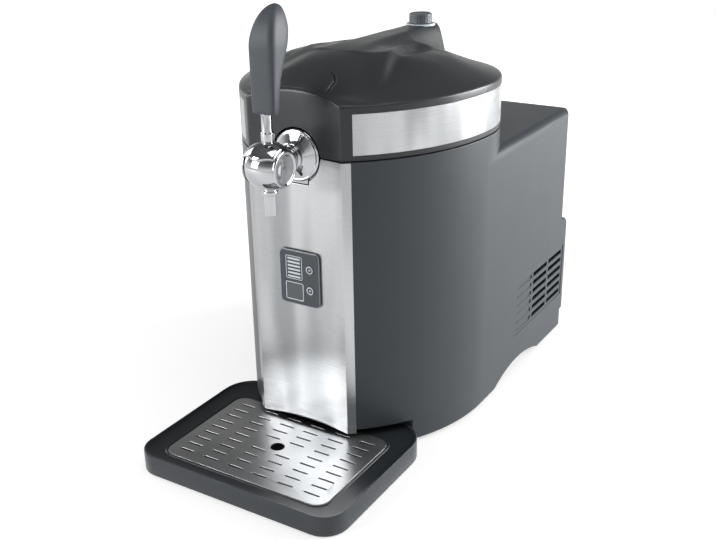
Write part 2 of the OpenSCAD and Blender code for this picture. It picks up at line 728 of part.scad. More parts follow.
module lid_liner() part(black) difference() {
    union() {
        slab(lid_pts(wall + gap), liner_z, liner_z + liner_t);
        difference() {
            rod_z(skirt_r + skirt_t, seam_z + gap + seal_h, liner_z, 0, -well_y);
            rod_z(skirt_r, seam_z, liner_z, 0, -well_y);
            block(-line_gap, line_gap, -far, -well_y, seam_z, liner_z - line_roof);
        }
    }
    pair() block(catch_x - slot_pad, catch_x + catch_w + slot_pad, leg_y[0] - slot_pad,
                 leg_y[1] + release_travel + slot_pad, liner_z - 1, liner_z + liner_t + 1);
    rod_z(gas_bore + run, liner_z - 1, liner_z + liner_t + 1, 0, nipple_y);
}
module lid_seal() part(rubber) difference() {
    rod_z(skirt_r + skirt_t, seam_z + gap, seam_z + gap + seal_h, 0, -well_y);
    rod_z(skirt_r, seam_z, seam_z + 10, 0, -well_y);
    block(-line_gap, line_gap, -far, -well_y, seam_z, seam_z + 10);
}
latch_t = 2;
latch_bridge = 8; // depth of the latch's bridge behind its legs
latch_open = 2 * stem_half; // half width of the opening for the button's stem
hook_z = deck_z - keeper_t - gap;
latch_z = liner_z + liner_t + gap;
plunger_z = latch_z + latch_t + gap + release_travel; // end of the stem, above the latch
module lid_latch() part(alloy) difference() {
    union() {
        pair() {
            block(catch_x, catch_x + catch_w, leg_y[0], leg_y[1], hook_z - leg_t, latch_z + latch_t);
            block(catch_x, catch_x + catch_w, leg_y[0] - hook, leg_y[1], hook_z - leg_t, hook_z);
        }
        block(-catch_x - catch_w, catch_x + catch_w, leg_y[0], leg_y[1] + latch_bridge,
              latch_z, latch_z + latch_t);
    }
    block(-latch_open, latch_open, leg_y[0] + 2, leg_y[1] + latch_bridge + 1, latch_z - 1,
          latch_z + latch_t + 1);
}

// Coil of round wire, as one tube of six sides
coil_r = 5.6;
coil_lip = 1.4; // reach of the collar over the coil
wire_r = 0.6;
coil_turns = 5;
coil_steps = 8;
wire_sides = 6;
module coil(height) {
    n = coil_turns * coil_steps;
    pts = [for (i = [0 : n], j = [0 : wire_sides - 1])
        let (a = 360 * i / coil_steps, b = 360 * j / wire_sides, r = coil_r + wire_r * cos(b))
        [r * cos(a), r * sin(a), height * i / n + wire_r * sin(b)]];
    last = n * wire_sides;
    faces = concat(
        [[for (j = [0 : wire_sides - 1]) j]],
        [for (i = [0 : n - 1], j = [0 : wire_sides - 1])
            let (k = (j + 1) % wire_sides, a = i * wire_sides + j, b = i * wire_sides + k,
                 c = a + wire_sides, e = b + wire_sides) each [[a, c, b], [b, c, e]]],
        [[for (j = [wire_sides - 1 : -1 : 0]) last + j]]);
    polyhedron(points = pts, faces = faces);
}
coil_low = liner_z + liner_t + gap + wire_r;
coil_top = rim_z + 2;
module release_spring() part(steel)
    translate([0, spring_y, coil_low]) coil(coil_top - wire_r - coil_low);

ear_t = 4;
hinge_end = arm_x + arm_w + ear_t + 2;
module lid_hinge_pin() part(steel) rod_x(hinge_r, -hinge_end, hinge_end, hinge_y, hinge_z);
module hinge_brackets() part(black) pair() difference() {
    for (x = [arm_x - gap - ear_t, arm_x + arm_w + gap]) {
        rod_x(knuckle_r, x, x + ear_t, hinge_y, hinge_z);
        block(x, x + ear_t, hinge_y - knuckle_r, hinge_y + knuckle_r, box_top, hinge_z);
    }
    rod_x(hinge_r + run, 0, hw, hinge_y, hinge_z);
}

// ---- pressure regulator ----
gas_lift = 6;
gas_z = liner_z + liner_t + gas_r + gas_lift;
regulator_r = 11;
gas_bore = 2.5;
gas_port = 2;
nipple_low = 8; // reach of the gas nipple under the liner
nipple_lip = 1.6;
nipple_y = skirt_r - well_y - gas_bore - 2; // inside the liner's skirt
shaft_r = 3;
flutes = 24;
flute_r = 0.8;
flute_end = 1.5; // plain edge above and below the flutes
knob_z = collar_z + collar_t + gap;
shaft_deep = 18; // reach of the knob's shaft below the hump
neck_h = 8;
module pressure_knob() part(black) {
    difference() {
        rod_z(knob_r, knob_z, knob_z + knob_h, 0, knob_y);
        for (i = [0 : flutes - 1])
            translate([0, knob_y, knob_z + flute_end]) rotate([0, 0, 360 * i / flutes])
                translate([knob_r + flute_r / 3, 0, 0])
                    cylinder(r = flute_r, h = knob_h - 2 * flute_end, $fn = 16);
    }
    rod_z(shaft_r, hump_z - shaft_deep, knob_z + 1, 0, knob_y);
}
module knob_collar() part(mark) difference() {
    rod_z(collar_r, collar_z, collar_z + collar_t, 0, knob_y);
    rod_z(shaft_r + run, collar_z - 1, collar_z + collar_t + 1, 0, knob_y);
}
module regulator_body() part(alloy) difference() {
    union() {
        rod_z(regulator_r, liner_z + liner_t, hump_z - neck_h, 0, knob_y);
        rod_z(neck_r, hump_z - neck_h, collar_z, 0, knob_y);
    }
    rod_z(shaft_r + run, hump_z - shaft_deep - 2, collar_z + 1, 0, knob_y);
    rod_z(gas_bore, liner_z, gas_z, 0, nipple_y);
    rod_y(gas_port, knob_y - regulator_r - 1, knob_y, 0, gas_z);
}
gas_back = knob_y - regulator_r + 0.6;
gas_neck = 7;
gas_neck_r = 4;
gas_cone = 4; // length of the cartridge's shoulder
module gas_cartridge() part("#8d3b35") difference() {
    union() {
        rod_y(gas_r, gas_back - gas_len, gas_back - gas_neck - gas_cone, 0, gas_z);
        translate([0, gas_back - gas_neck - gas_cone, gas_z]) rotate([-90, 0, 0])
            cylinder(r1 = gas_r, r2 = gas_neck_r, h = gas_cone);
        rod_y(gas_neck_r, gas_back - gas_neck, gas_back, 0, gas_z);
    }
    rod_z(regulator_r, liner_z, far, 0, knob_y);
}
cradle_t = 2; // wall of the cradle beside the cartridge
cradle_in = 6; // distance of the cradle from the cartridge's ends
module cartridge_cradle() part(black) difference() {
    block(-gas_r - cradle_t, gas_r + cradle_t, gas_back - gas_len + cradle_in,
          gas_back - gas_neck - gas_cone - cradle_in, liner_z + liner_t, gas_z);
    rod_y(gas_r, -far, far, 0, gas_z);
}
module gas_nipple() part(alloy) difference() {
    union() {
        rod_z(gas_bore, liner_z - nipple_low, liner_z + liner_t + gas_lift, 0, nipple_y);
        rod_z(gas_bore + nipple_lip, liner_z - 3, liner_z - gap, 0, nipple_y);
    }
    rod_z(gas_bore / 2, liner_z - nipple_low - 1, liner_z + liner_t + gas_lift + 1, 0, nipple_y);
}

// ---- tap ----
flange_set = 1.6;
flange_y = mid_face + flange_set; // back of the flange
flange_t = 3;
dish_t = 6;
flange_rim = 1.5; // flat edge round the dish
hub_r = shank_r + 2.5;
bracket_drop = 18; // reach of the bracket below the notch
ear_drop = 30;
module tap_bracket() part(alloy) difference() {
    union() {
        block(-bracket_half, bracket_half, bracket_y, bracket_y + bracket_t, notch_z - bracket_drop,
              deck_z - gap);
        intersection() {
            rod_y(ear_half, flange_y, bracket_y + bracket_t, 0, tap_z);
            block(-far, far, -far, 0, deck_z - ear_drop, far);
        }
        block(-notch_half + flange_rim, notch_half - flange_rim, flange_y - 1, bracket_y + bracket_t,
              notch_z + 1, tap_z - notch_half);
    }
    rod_y(shank_r + run, -far, 0, 0, tap_z);
    rod_y(flange_r + gap, -far, flange_y, 0, tap_z);
}
module tap_flange() part(chrome) difference() {
    union() {
        rod_y(flange_r, flange_y - flange_t, flange_y, 0, tap_z);
        translate([0, flange_y - flange_t, tap_z]) rotate([90, 0, 0])
            cylinder(r1 = flange_r - flange_rim, r2 = hub_r, h = dish_t);
    }
    rod_y(shank_r + run, -far, 0, 0, tap_z);
}
drum_y = -tap_y;
drum_z = tap_z;
shank_in = 7;
shank_front = drum_y + drum_r - shank_in; // end of the shank inside the barrel
nut_t = 8;
shank_back = bracket_y + bracket_t + 2 * nut_t + 1;
module tap_shank() part(chrome) difference() {
    rod_y(shank_r, shank_front, shank_back, 0, tap_z);
    rod_y(beer_r, -far, 0, 0, tap_z);
}
nut_side = 5.5; // how far the corners of the nut stand over the shank
module shank_nut() part(steel) difference() {
    translate([0, bracket_y + bracket_t, tap_z]) rotate([-90, 0, 0])
        cylinder(r = shank_r + nut_side, h = nut_t, $fn = 6);
    rod_y(shank_r + run, -far, 0, 0, tap_z);
}
nipple_len = 14;
nipple_r = 5;
module beer_nipple() part(steel) difference() {
    union() {
        rod_y(shank_r, shank_back, shank_back + 3, 0, tap_z);
        rod_y(nipple_r, shank_back + 3, shank_back + nipple_len, 0, tap_z);
    }
    rod_y(beer_r, -far, 0, 0, tap_z);
}
belly_rise = drum_r - drum_end_r;
belly_r = (pow(drum_half, 2) + pow(belly_rise, 2)) / (2 * belly_rise);
function belly(grow, half, n = 12) = concat(
    [[0, -half], [0, half]],
    [for (i = [0 : n]) let (x = half - 2 * half * i / n)
        [drum_r - belly_r + sqrt(belly_r * belly_r - x * x) + grow, x]]);
module drum(grow, half) {
    translate([0, drum_y, drum_z]) rotate([0, 90, 0]) rotate_extrude() polygon(belly(grow, half));
}
pin_r = 3;
spout_in = 8; // length of the spout inside the barrel
spout_top = drum_z - drum_r + spout_in;
module tap_barrel() part(chrome) difference() {
    drum(0, drum_half);
    rod_x(pin_r + run, -far, far, drum_y, drum_z);
    rod_y(shank_r + run, shank_front, 0, 0, drum_z);
    rod_y(beer_r, drum_y, shank_front + 1, 0, drum_z);
    rod_z(spout_r + run, 0, spout_top, 0, drum_y);
    rod_z(beer_r, spout_top - 1, drum_z, 0, drum_y);
}
spout_bore = spout_r - 1.4;
spout_lip = 1.6; // reach of the spout's ring
ring_t = 4.5;
module tap_spout() part(chrome) difference() {
    union() {
        rod_z(spout_r, spout_z, spout_top, 0, drum_y);
        rod_z(spout_r + spout_lip, drum_z - drum_r - ring_t, drum_z - drum_r - gap, 0, drum_y);
    }
    rod_z(spout_bore, spout_z - 1, spout_top + 1, 0, drum_y);
}
plunger_len = 30;
plunger_travel = 5;
module tap_plunger() part(steel)
    rod_y(beer_r - run, drum_y + pin_r + gap, drum_y + pin_r + gap + plunger_len, 0, drum_z);
saddle_t = 1.9;
cap_t = 2.2;
saddle_low = 12; // height of the saddle's edge above the axis
cap_r = drum_end_r + 1;
stem_collar = 8; // height of the collar at the stem's foot
saddle_top = drum_z + drum_r + gap + saddle_t;
module lever_saddle() part(chrome) difference() {
    union() {
        intersection() {
            drum(gap + saddle_t, drum_half + gap);
            block(-far, far, -far, 0, drum_z + saddle_low, far);
        }
        pair() rod_x(cap_r, drum_half + gap, drum_half + gap + cap_t, drum_y, drum_z);
    }
    drum(gap, drum_half + gap);
    rod_x(pin_r + run, -far, far, drum_y, drum_z);
    rod_z(stem_r + run, drum_z, far, 0, drum_y);
}
module lever_pin() part(steel)
    rod_x(pin_r, -drum_half - gap - cap_t, drum_half + gap + cap_t, drum_y, drum_z);
socket_len = 14;
socket_z = handle_z + socket_len;
tang_r = 3.5; // stem inside the handle
module lever_stem() part(chrome) {
    rod_z(stem_r, drum_z + drum_r + 2 * gap, handle_z, 0, drum_y);
    rod_z(tang_r, handle_z, socket_z, 0, drum_y);
    rod_z(stem_r + 1, saddle_top, saddle_top + stem_collar, 0, drum_y);
}
handle_set = 5.5;
handle_front = drum_y - handle_set;
handle_low_t = 11.5; // thickness at the lower end
handle_top_t = 34; // thickness near the top
handle_low_w = 24; // width at the lower end
module handle_ring(z, w, t, r, set = 0) {
    // rounded slice of the handle, set back from the flat front plane
    for (x = [-w / 2 + r, w / 2 - r], y = [set + r, t - r])
        translate([x, handle_front + y, z]) sphere(r, $fn = 24);
}
module tap_handle() part(handle_grey) difference() {
    intersection() {
        hull() {
            handle_ring(handle_z + 3, handle_low_w, handle_low_t, 3);
            handle_ring(handle_z + handle_len * 0.3, handle_low_w + 1.5, handle_low_t + 4, 4);
            handle_ring(handle_z + handle_len * 0.6, handle_w, handle_top_t - 7, 6);
            handle_ring(handle_z + handle_len * 0.76, handle_w, handle_top_t, 7);
            handle_ring(handle_z + handle_len - 9, handle_w - 7, handle_top_t - 4, 8.9, 7);
        }
        block(-far, far, -far, 0, handle_z, handle_z + handle_len);
    }
    rod_z(tang_r + run, handle_z - 1, socket_z, 0, drum_y);
}

// ---- keg well and cooling ----
module keg_well() part(alloy) difference() {
    rod_z(well_r + well_t, well_z - well_t, deck_z, 0, -well_y);
    rod_z(well_r, well_z, deck_z + 1, 0, -well_y);
}
foam_back = 98;
foam_front = 110;
line_room = 8; // room round the tap's line in the foam
block_in = 45; // depth of the cold block in front of the cell, cut to the well
foam_drop = 8; // top of the foam below the deck
block_half = 25;
block_z = 25;
module well_insulation() part("#e9e6dc") difference() {
    intersection() {
        casing_body(wall + gap, shell_floor, deck_z - foam_drop);
        block(-far, far, -foam_front, foam_back, 0, far);
    }
    rod_z(well_r + well_t + gap, well_z - well_t, far, 0, -well_y);
    block(-block_half - gap, block_half + gap, 0, far, fan_z - block_z - gap, fan_z + block_z + gap);
    block(-line_half - line_room, line_half + line_room, -far, -well_y, tap_z - ear_drop, far);
    pair() block(hw - wall - vent_t - gap, far, vent_y0 - lip - gap, far,
                 vent_z0 - lip - gap, vent_z1 + lip + gap);
}
cell_t = 4;
cell_y = foam_back + 6;
module cold_block() part(alloy) difference() {
    block(-block_half, block_half, cell_y - 1.5 * block_in, cell_y, fan_z - block_z, fan_z + block_z);
    rod_z(well_r + well_t, 0, far, 0, -well_y);
}
cell_half = 20;
module cooling_cell() part("#e8e8e8")
    block(-cell_half, cell_half, cell_y, cell_y + cell_t, fan_z - cell_half, fan_z + cell_half);
sink_y = cell_y + cell_t;
sink_t = 6;
fin_t = 1.6;
sink_screw_r = 1.9;
bolt_in = 5;
bolt_at = fan_w / 2 - bolt_in;
module heat_sink() part(alloy) difference() {
    union() {
        block(-sink_w / 2, sink_w / 2, sink_y, sink_y + sink_t, fan_z - sink_w / 2, fan_z + sink_w / 2);
        for (i = [0 : fins - 1]) let (x = -sink_w / 2 + fin_t / 2 + i * (sink_w - fin_t) / (fins - 1))
            block(x - fin_t / 2, x + fin_t / 2, sink_y + sink_t, sink_y + sink_t + fin_len,
                  fan_z - sink_w / 2, fan_z + sink_w / 2);
    }
    for (x = [-bolt_at, bolt_at], z = [-bolt_at, bolt_at])
        rod_y(sink_screw_r + fin_t, sink_y + sink_t, far, x, fan_z + z);
    for (x = [-bolt_at, bolt_at], z = [-bolt_at, bolt_at])
        rod_y(sink_screw_r + run, sink_y - 1, far, x, fan_z + z);
}
fan_y = sink_y + sink_t + fin_len;
sink_head = 2.5;
module sink_screws() part(steel) for (x = [-bolt_at, bolt_at], z = [-bolt_at, bolt_at]) {
    rod_y(sink_screw_r, sink_y, fan_y + fan_t, x, fan_z + z);
    rod_y(sink_screw_r * 2, fan_y + fan_t, fan_y + fan_t + sink_head, x, fan_z + z);
}
fan_wall = 3;
hub = 16;
spindle_r = 2;
motor_t = 5;
arm_half = 2.5; // half width of an arm that carries the motor
blade_t = 1.6;
blade_rise = 0.55; // share of the rotor's depth that a blade takes, each way
module fan_frame() part(black) difference() {
    union() {
        difference() {
            plate_y(fan_y, fan_y + fan_t, fan_z) rounded(fan_w, fan_w, 5);
            rod_y(fan_w / 2 - fan_wall, fan_y - 1, fan_y + fan_t + 1, 0, fan_z);
        }
        for (a = [30, 150, 270]) translate([0, fan_y + fan_t - motor_t, fan_z]) rotate([0, a, 0])
            block(hub - 2, fan_w / 2 - 1, 0, motor_t - 1, -arm_half, arm_half);
        rod_y(hub, fan_y + fan_t - motor_t, fan_y + fan_t, 0, fan_z);
        rod_y(spindle_r, fan_y + 4, fan_y + fan_t - motor_t, 0, fan_z);
    }
    for (x = [-bolt_at, bolt_at], z = [-bolt_at, bolt_at])
        rod_y(sink_screw_r + run, fan_y - 1, fan_y + fan_t + 1, x, fan_z + z);
}
blade_len = fan_w / 2 - fan_wall - hub - 1.5;
rotor_y = fan_y + 2;
rotor_t = fan_t - motor_t - 3;
module fan_rotor() part(black) difference() {
    union() {
        rod_y(hub, rotor_y, rotor_y + rotor_t, 0, fan_z);
        for (i = [0 : blades - 1]) translate([0, rotor_y + rotor_t / 2, fan_z])
            rotate([0, 360 * i / blades, 0]) rotate([35, 0, 0])
                block(hub - 1, hub + blade_len, -blade_t / 2, blade_t / 2,
                      -rotor_t * blade_rise, rotor_t * blade_rise);
    }
    rod_y(spindle_r + run, rotor_y - 1, rotor_y + rotor_t + 1, 0, fan_z);
}
post_h = 4;
post_r = 3;
board_z = shell_floor + post_h;
board_half = 52;
board_len = 78;
board_in = 25; // distance of the power board from the back
board_y = back_y - board_in;
board_edge = 6; // distance of posts and parts from the board's edges
core_half = 20;
core_len = 35;
core_h = 30;
can_r = 9;
can_h = 26;
can_x = 38;
module power_board() part("#2f6b3c") {
    block(-board_half, board_half, board_y - board_len, board_y, board_z, board_z + board_t);
    pair() for (y = [board_y - board_edge, board_y - board_len + board_edge])
        rod_z(post_r, shell_floor, board_z, board_half - 2 * board_edge, y);
    block(-core_half, core_half, board_y - board_len + 2 * board_edge,
          board_y - board_len + 2 * board_edge + core_len, board_z + board_t, board_z + board_t + core_h);
    pair() rod_z(can_r, board_z + board_t, board_z + board_t + can_h,
                 can_x, board_y - 2 * board_edge - can_r);
}
inlet_wall = 3;
inlet_body = 18; // depth of the inlet behind the casing's back
inlet_deep = inlet_body - inlet_wall;
inlet_lip = 2.5;
pin_gap = 7;
pin_half = 1;
pin_rise = 2.5;
module power_inlet() part(black) difference() {
    union() {
        block(inlet_x - inlet_w / 2 + gap, inlet_x + inlet_w / 2 - gap, low_y - inlet_body, low_y,
              inlet_z - inlet_h / 2 + gap, inlet_z + inlet_h / 2 - gap);
        block(inlet_x - inlet_w / 2 - lip, inlet_x + inlet_w / 2 + lip, low_y - wall - inlet_lip,
              low_y - wall,
              inlet_z - inlet_h / 2 - lip, inlet_z + inlet_h / 2 + lip);
    }
    difference() {
        block(inlet_x - inlet_w / 2 + inlet_wall, inlet_x + inlet_w / 2 - inlet_wall, low_y - inlet_deep,
              low_y + 1, inlet_z - inlet_h / 2 + inlet_wall, inlet_z + inlet_h / 2 - inlet_wall);
        for (i = [-1, 0, 1]) let (x = inlet_x + i * pin_gap)
            block(x - pin_half, x + pin_half, low_y - inlet_deep - 1, low_y - inlet_wall,
                  inlet_z - pin_rise, inlet_z + pin_rise);
    }
}

body_shell();
base();
rubber_feet();
rear_cover();
rear_screws();
vent_grille_left();
vent_grille_right();
front_panel();
top_deck();
tap_bracket();
control_plate();
display_window();
level_gauge();
power_button();
cooling_button();
control_board();
drip_tray();
tray_floor();
drip_grille();
lid_ring();
lid_dome();
lid_band_left();
lid_band_right();
lid_liner();
lid_seal();
lid_hinge_pin();
hinge_brackets();
lid_release_button();
release_spring();
lid_latch();
latch_keeper();
pressure_knob();
knob_collar();
regulator_body();
gas_cartridge();
cartridge_cradle();
gas_nipple();
tap_flange();
tap_shank();
shank_nut();
beer_nipple();
tap_barrel();
tap_spout();
tap_plunger();
lever_saddle();
lever_pin();
lever_stem();
tap_handle();
keg_well();
well_insulation();
cold_block();
cooling_cell();
heat_sink();
sink_screws();
fan_frame();
fan_rotor();
power_board();
power_inlet();
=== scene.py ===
"""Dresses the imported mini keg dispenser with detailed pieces, finishes, a stage and a camera."""
import math

import bmesh
import bpy
from bpy.props import FloatProperty, FloatVectorProperty, IntProperty, PointerProperty
from bpy.types import Operator, Panel, PropertyGroup
from mathutils import Matrix, Vector


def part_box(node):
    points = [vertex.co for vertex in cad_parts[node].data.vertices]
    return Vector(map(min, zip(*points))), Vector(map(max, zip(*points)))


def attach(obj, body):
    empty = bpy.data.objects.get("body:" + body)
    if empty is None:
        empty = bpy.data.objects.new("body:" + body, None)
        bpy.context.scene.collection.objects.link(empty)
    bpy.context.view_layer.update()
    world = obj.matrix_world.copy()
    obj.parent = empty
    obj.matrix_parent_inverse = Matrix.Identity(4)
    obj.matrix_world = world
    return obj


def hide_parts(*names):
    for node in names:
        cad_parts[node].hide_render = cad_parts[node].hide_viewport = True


bl_info = {
    "name": "Mini keg dispenser",
    "version": (1, 0, 0),
    "blender": (4, 5, 0),
    "location": "View3D > Sidebar > Keg dispenser",
    "description": "Builds the looks of a countertop keg cooler with a tap",
    "category": "Object",
}

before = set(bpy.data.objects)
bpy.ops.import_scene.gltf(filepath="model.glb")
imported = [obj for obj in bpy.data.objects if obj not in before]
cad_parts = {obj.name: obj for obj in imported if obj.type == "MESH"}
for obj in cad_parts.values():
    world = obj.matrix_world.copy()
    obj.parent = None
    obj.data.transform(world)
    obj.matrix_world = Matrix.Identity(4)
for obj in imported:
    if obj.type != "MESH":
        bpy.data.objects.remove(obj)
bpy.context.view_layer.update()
VENT_FOOT = 0.048  # lower edge of the vents
MID_Y = 0.0185  # the barrel's widest section lies this far behind the middle of the outline
CREASE = 32.0  # degrees; a sharper edge is shaded sharp, and rounded where a piece has a bevel
SIDES = ((-1, "left"), (1, "right"))
BUTTON_GAP = 0.0006  # between the release button and its opening
BUTTON_START = 0.0032  # from the lid's face to the button's front edge


# ---------------------------------------------------------------- settings

class KegLidSettings(PropertyGroup):
    half_width: FloatProperty(
        name="Half width", description="Half width of the barrel", default=0.125, unit='LENGTH')
    flank_radius: FloatProperty(
        name="Flank radius", description="Radius of the two curved flanks", default=0.184, unit='LENGTH')
    rear_radius: FloatProperty(
        name="Rear radius", description="Radius of the rear corners", default=0.102, unit='LENGTH')
    face_half: FloatProperty(
        name="Face half width", description="Half width of the front face", default=0.050, unit='LENGTH')
    face_sag: FloatProperty(
        name="Face hollow", description="Hollow of the front face at its middle",
        default=0.004, unit='LENGTH')
    foot: FloatProperty(
        name="Lower edge", description="Height of the lid's lower edge", default=0.2982, unit='LENGTH')
    rim: FloatProperty(
        name="Rim height", description="Height of the lid's upper rim", default=0.347, unit='LENGTH')
    dome_rise: FloatProperty(
        name="Dome rise", description="Height of the middle above the rim", default=0.0315, unit='LENGTH')
    rib_rise: FloatProperty(
        name="Rib rise", description="Height of the raised rib above the rim",
        default=0.0345, unit='LENGTH')
    brow_rise: FloatProperty(
        name="Brow rise", description="Rise of the front's top over the rim", default=0.009, unit='LENGTH')
    hump_half: FloatProperty(
        name="Hump half width", description="Half width of the rib's rear end",
        default=0.017, unit='LENGTH')
    rim_round: FloatProperty(
        name="Rim rounding", description="Radius of the rounded rim", default=0.0018, unit='LENGTH')
    wall: FloatProperty(name="Wall", description="Thickness of the lid's wall", default=0.003, unit='LENGTH')
    scoop_depth: FloatProperty(
        name="Scoop depth", description="Depth of the finger scoops beside the hump",
        default=0.0058, unit='LENGTH')
    band_low: FloatProperty(
        name="Band lower edge", description="Height of the steel band's lower edge",
        default=0.303, unit='LENGTH')
    band_high: FloatProperty(
        name="Band upper edge", description="Height of the steel band's upper edge",
        default=0.340, unit='LENGTH')


class KegTapSettings(PropertyGroup):
    height: FloatProperty(
        name="Axis height", description="Height of the tap's axis", default=0.297, unit='LENGTH')
    depth: FloatProperty(
        name="Lever depth", description="Depth of the lever's turning axis", default=0.186, unit='LENGTH')
    barrel_radius: FloatProperty(
        name="Barrel radius", description="Largest radius of the barrel", default=0.0205, unit='LENGTH')
    end_radius: FloatProperty(
        name="End radius", description="Radius of the barrel at its ends", default=0.016, unit='LENGTH')
    barrel_half: FloatProperty(
        name="Barrel half length", description="Half length of the barrel", default=0.0155, unit='LENGTH')
    flange_radius: FloatProperty(
        name="Flange radius", description="Radius of the round flange", default=0.0245, unit='LENGTH')
    steps: IntProperty(name="Steps", description="Steps of a full turn", default=72, min=24)


class KegTraySettings(PropertyGroup):
    half: FloatProperty(
        name="Half width", description="Half width of the tray", default=0.114, unit='LENGTH')
    reach: FloatProperty(
        name="Reach", description="Depth of the tray's front edge", default=0.274, unit='LENGTH')
    back: FloatProperty(
        name="Back", description="Depth of the tray's rear edge", default=0.0986, unit='LENGTH')
    rim: FloatProperty(
        name="Rim height", description="Height of the tray's rim", default=0.0215, unit='LENGTH')
    front_corner: FloatProperty(
        name="Front corners", description="Radius of the front corners", default=0.024, unit='LENGTH')
    rear_corner: FloatProperty(
        name="Rear corners", description="Radius of the rear corners", default=0.034, unit='LENGTH')
    edge: FloatProperty(
        name="Front edge", description="Width of the edge in front of the grille",
        default=0.017, unit='LENGTH')
    grille_half: FloatProperty(
        name="Grille half width", description="Half width of the grille", default=0.091, unit='LENGTH')
    grille_length: FloatProperty(
        name="Grille length", description="Length of the grille", default=0.122, unit='LENGTH')


class KegColours(PropertyGroup):
    casing: FloatVectorProperty(
        name="Casing", description="Colour of the casing", subtype='COLOR', default=(0.046, 0.054, 0.062))
    lid: FloatVectorProperty(
        name="Lid", description="Colour of the lid's top", subtype='COLOR', default=(0.033, 0.036, 0.039))
    base: FloatVectorProperty(
        name="Base", description="Colour of the dark inner mouldings", subtype='COLOR',
        default=(0.020, 0.022, 0.026))
    tray: FloatVectorProperty(
        name="Tray", description="Colour of the drip tray", subtype='COLOR', default=(0.036, 0.042, 0.050))
    handle: FloatVectorProperty(
        name="Handle", description="Colour of the handle", subtype='COLOR', default=(0.070, 0.078, 0.088))
    knob: FloatVectorProperty(
        name="Knob", description="Colour of the knob", subtype='COLOR', default=(0.085, 0.097, 0.112))
    steel: FloatVectorProperty(
        name="Steel", description="Colour of the brushed steel", subtype='COLOR',
        default=(0.80, 0.81, 0.82))
    chrome: FloatVectorProperty(
        name="Chrome", description="Colour of the chrome", subtype='COLOR', default=(0.56, 0.57, 0.59))
    plate: FloatVectorProperty(
        name="Plate", description="Colour of the control plate", subtype='COLOR',
        default=(0.050, 0.060, 0.070))
    mark: FloatVectorProperty(
        name="Marks", description="Colour of the light marks", subtype='COLOR', default=(0.62, 0.68, 0.72))


# ---------------------------------------------------------------- shapes

def place(x, y, z):
    """A point from the barrel's own depth, in the frame of the part."""
    return Vector((x, y + MID_Y, z))


def level(pts, z):
    """A flat outline set at a height."""
    return [place(p.x, p.y, z) for p in pts]


def corners(node):
    """The lowest and the highest corner of a CAD node's box."""
    return [Vector(p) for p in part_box(node)]


def clamp(t):
    """t kept between 0 and 1."""
    return min(1.0, max(0.0, t))


def ease(t):
    """A soft step from 0 to 1."""
    t = clamp(t)
    return t * t * (3 - 2 * t)


def table(rows, t):
    """Value at t from rows of (t, value), with straight lines between them."""
    for (a, va), (b, vb) in zip(rows, rows[1:]):
        if t <= b:
            return va + (vb - va) * clamp((t - a) / (b - a))
    return rows[-1][1]


def lofted(rings, closed=True, cap_start=False, cap_end=False, pole=None):
    """Extrudes the first ring's edges from ring to ring."""
    bm = bmesh.new()
    spot = bm.verts.layers.int.new("spot")
    verts = [bm.verts.new(p) for p in rings[0]]
    for i, v in enumerate(verts):
        v[spot] = i
    pairs = list(zip(verts, verts[1:])) + ([(verts[-1], verts[0])] if closed else [])
    edges = [bm.edges.new(p) for p in pairs]
    if cap_start:
        bmesh.ops.contextual_create(bm, geom=edges)
    for ring in rings[1:]:
        made = bmesh.ops.extrude_edge_only(bm, edges=edges)["geom"]
        fresh = {g for g in made if isinstance(g, bmesh.types.BMVert)}
        edges = [g for g in made if isinstance(g, bmesh.types.BMEdge) and set(g.verts) <= fresh]
        for v in fresh:
            v.co = ring[v[spot]]
    if cap_end:
        bmesh.ops.contextual_create(bm, geom=edges)
    if pole is not None:
        last = list({v for e in edges for v in e.verts})
        bmesh.ops.pointmerge(bm, verts=last, merge_co=pole)
    bmesh.ops.recalc_face_normals(bm, faces=bm.faces)
    return bm


def softened(profile, steps=4):
    """Rounds each corner of a profile of (radius, height, rounding)."""
    out = []
    n = len(profile)
    for i, (r, h, soft) in enumerate(profile):
        here = Vector((r, h))
        if soft <= 0 or i in (0, n - 1):
            out.append(here)
            continue
        before = Vector(profile[i - 1][:2]) - here
        after = Vector(profile[i + 1][:2]) - here
        a = here + before.normalized() * min(soft, before.length * 0.49)
        b = here + after.normalized() * min(soft, after.length * 0.49)
        for k in range(steps + 1):
            t = k / steps
            out.append(a * (1 - t) ** 2 + here * 2 * t * (1 - t) + b * t * t)
    return out


def turned(profile, centre, axis, steps=64, ring=False):
    """Spins a profile of (radius, height, rounding) about an axis; a ring's profile is closed."""
    axis = Vector(axis)
    side = Vector((0, 0, 1)) if abs(axis.z) < 0.5 else Vector((1, 0, 0))
    pts = softened(list(profile) + ([profile[0]] if ring else []))
    if ring:
        pts = pts[:-1]
    bm = bmesh.new()
    verts = [bm.verts.new(Vector(centre) + side * p.x + axis * p.y) for p in pts]
    edges = [bm.edges.new(p) for p in zip(verts, verts[1:])]
    if ring:
        edges.append(bm.edges.new((verts[-1], verts[0])))
    bmesh.ops.spin(bm, geom=verts + edges, cent=centre, axis=axis, angle=2 * math.pi, steps=steps,
                   use_merge=True)
    bmesh.ops.remove_doubles(bm, verts=bm.verts, dist=1e-6)
    bmesh.ops.recalc_face_normals(bm, faces=bm.faces)
    return bm


def plug(radius, low, high, centre, axis, steps):
    """A plain cylinder to cut with."""
    return turned([(0, low, 0), (radius, low, 0), (radius, high, 0), (0, high, 0)], centre, axis, steps)


def node_shape(node, flat=0.5):
    """A merged copy of a CAD node's mesh, with faces that lie within flat degrees joined."""
    bm = bmesh.new()
    bm.from_mesh(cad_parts[node].data)
    bmesh.ops.remove_doubles(bm, verts=bm.verts, dist=2e-6)
    if flat:
        bmesh.ops.dissolve_limit(bm, angle_limit=math.radians(flat), verts=bm.verts, edges=bm.edges)
    return bm


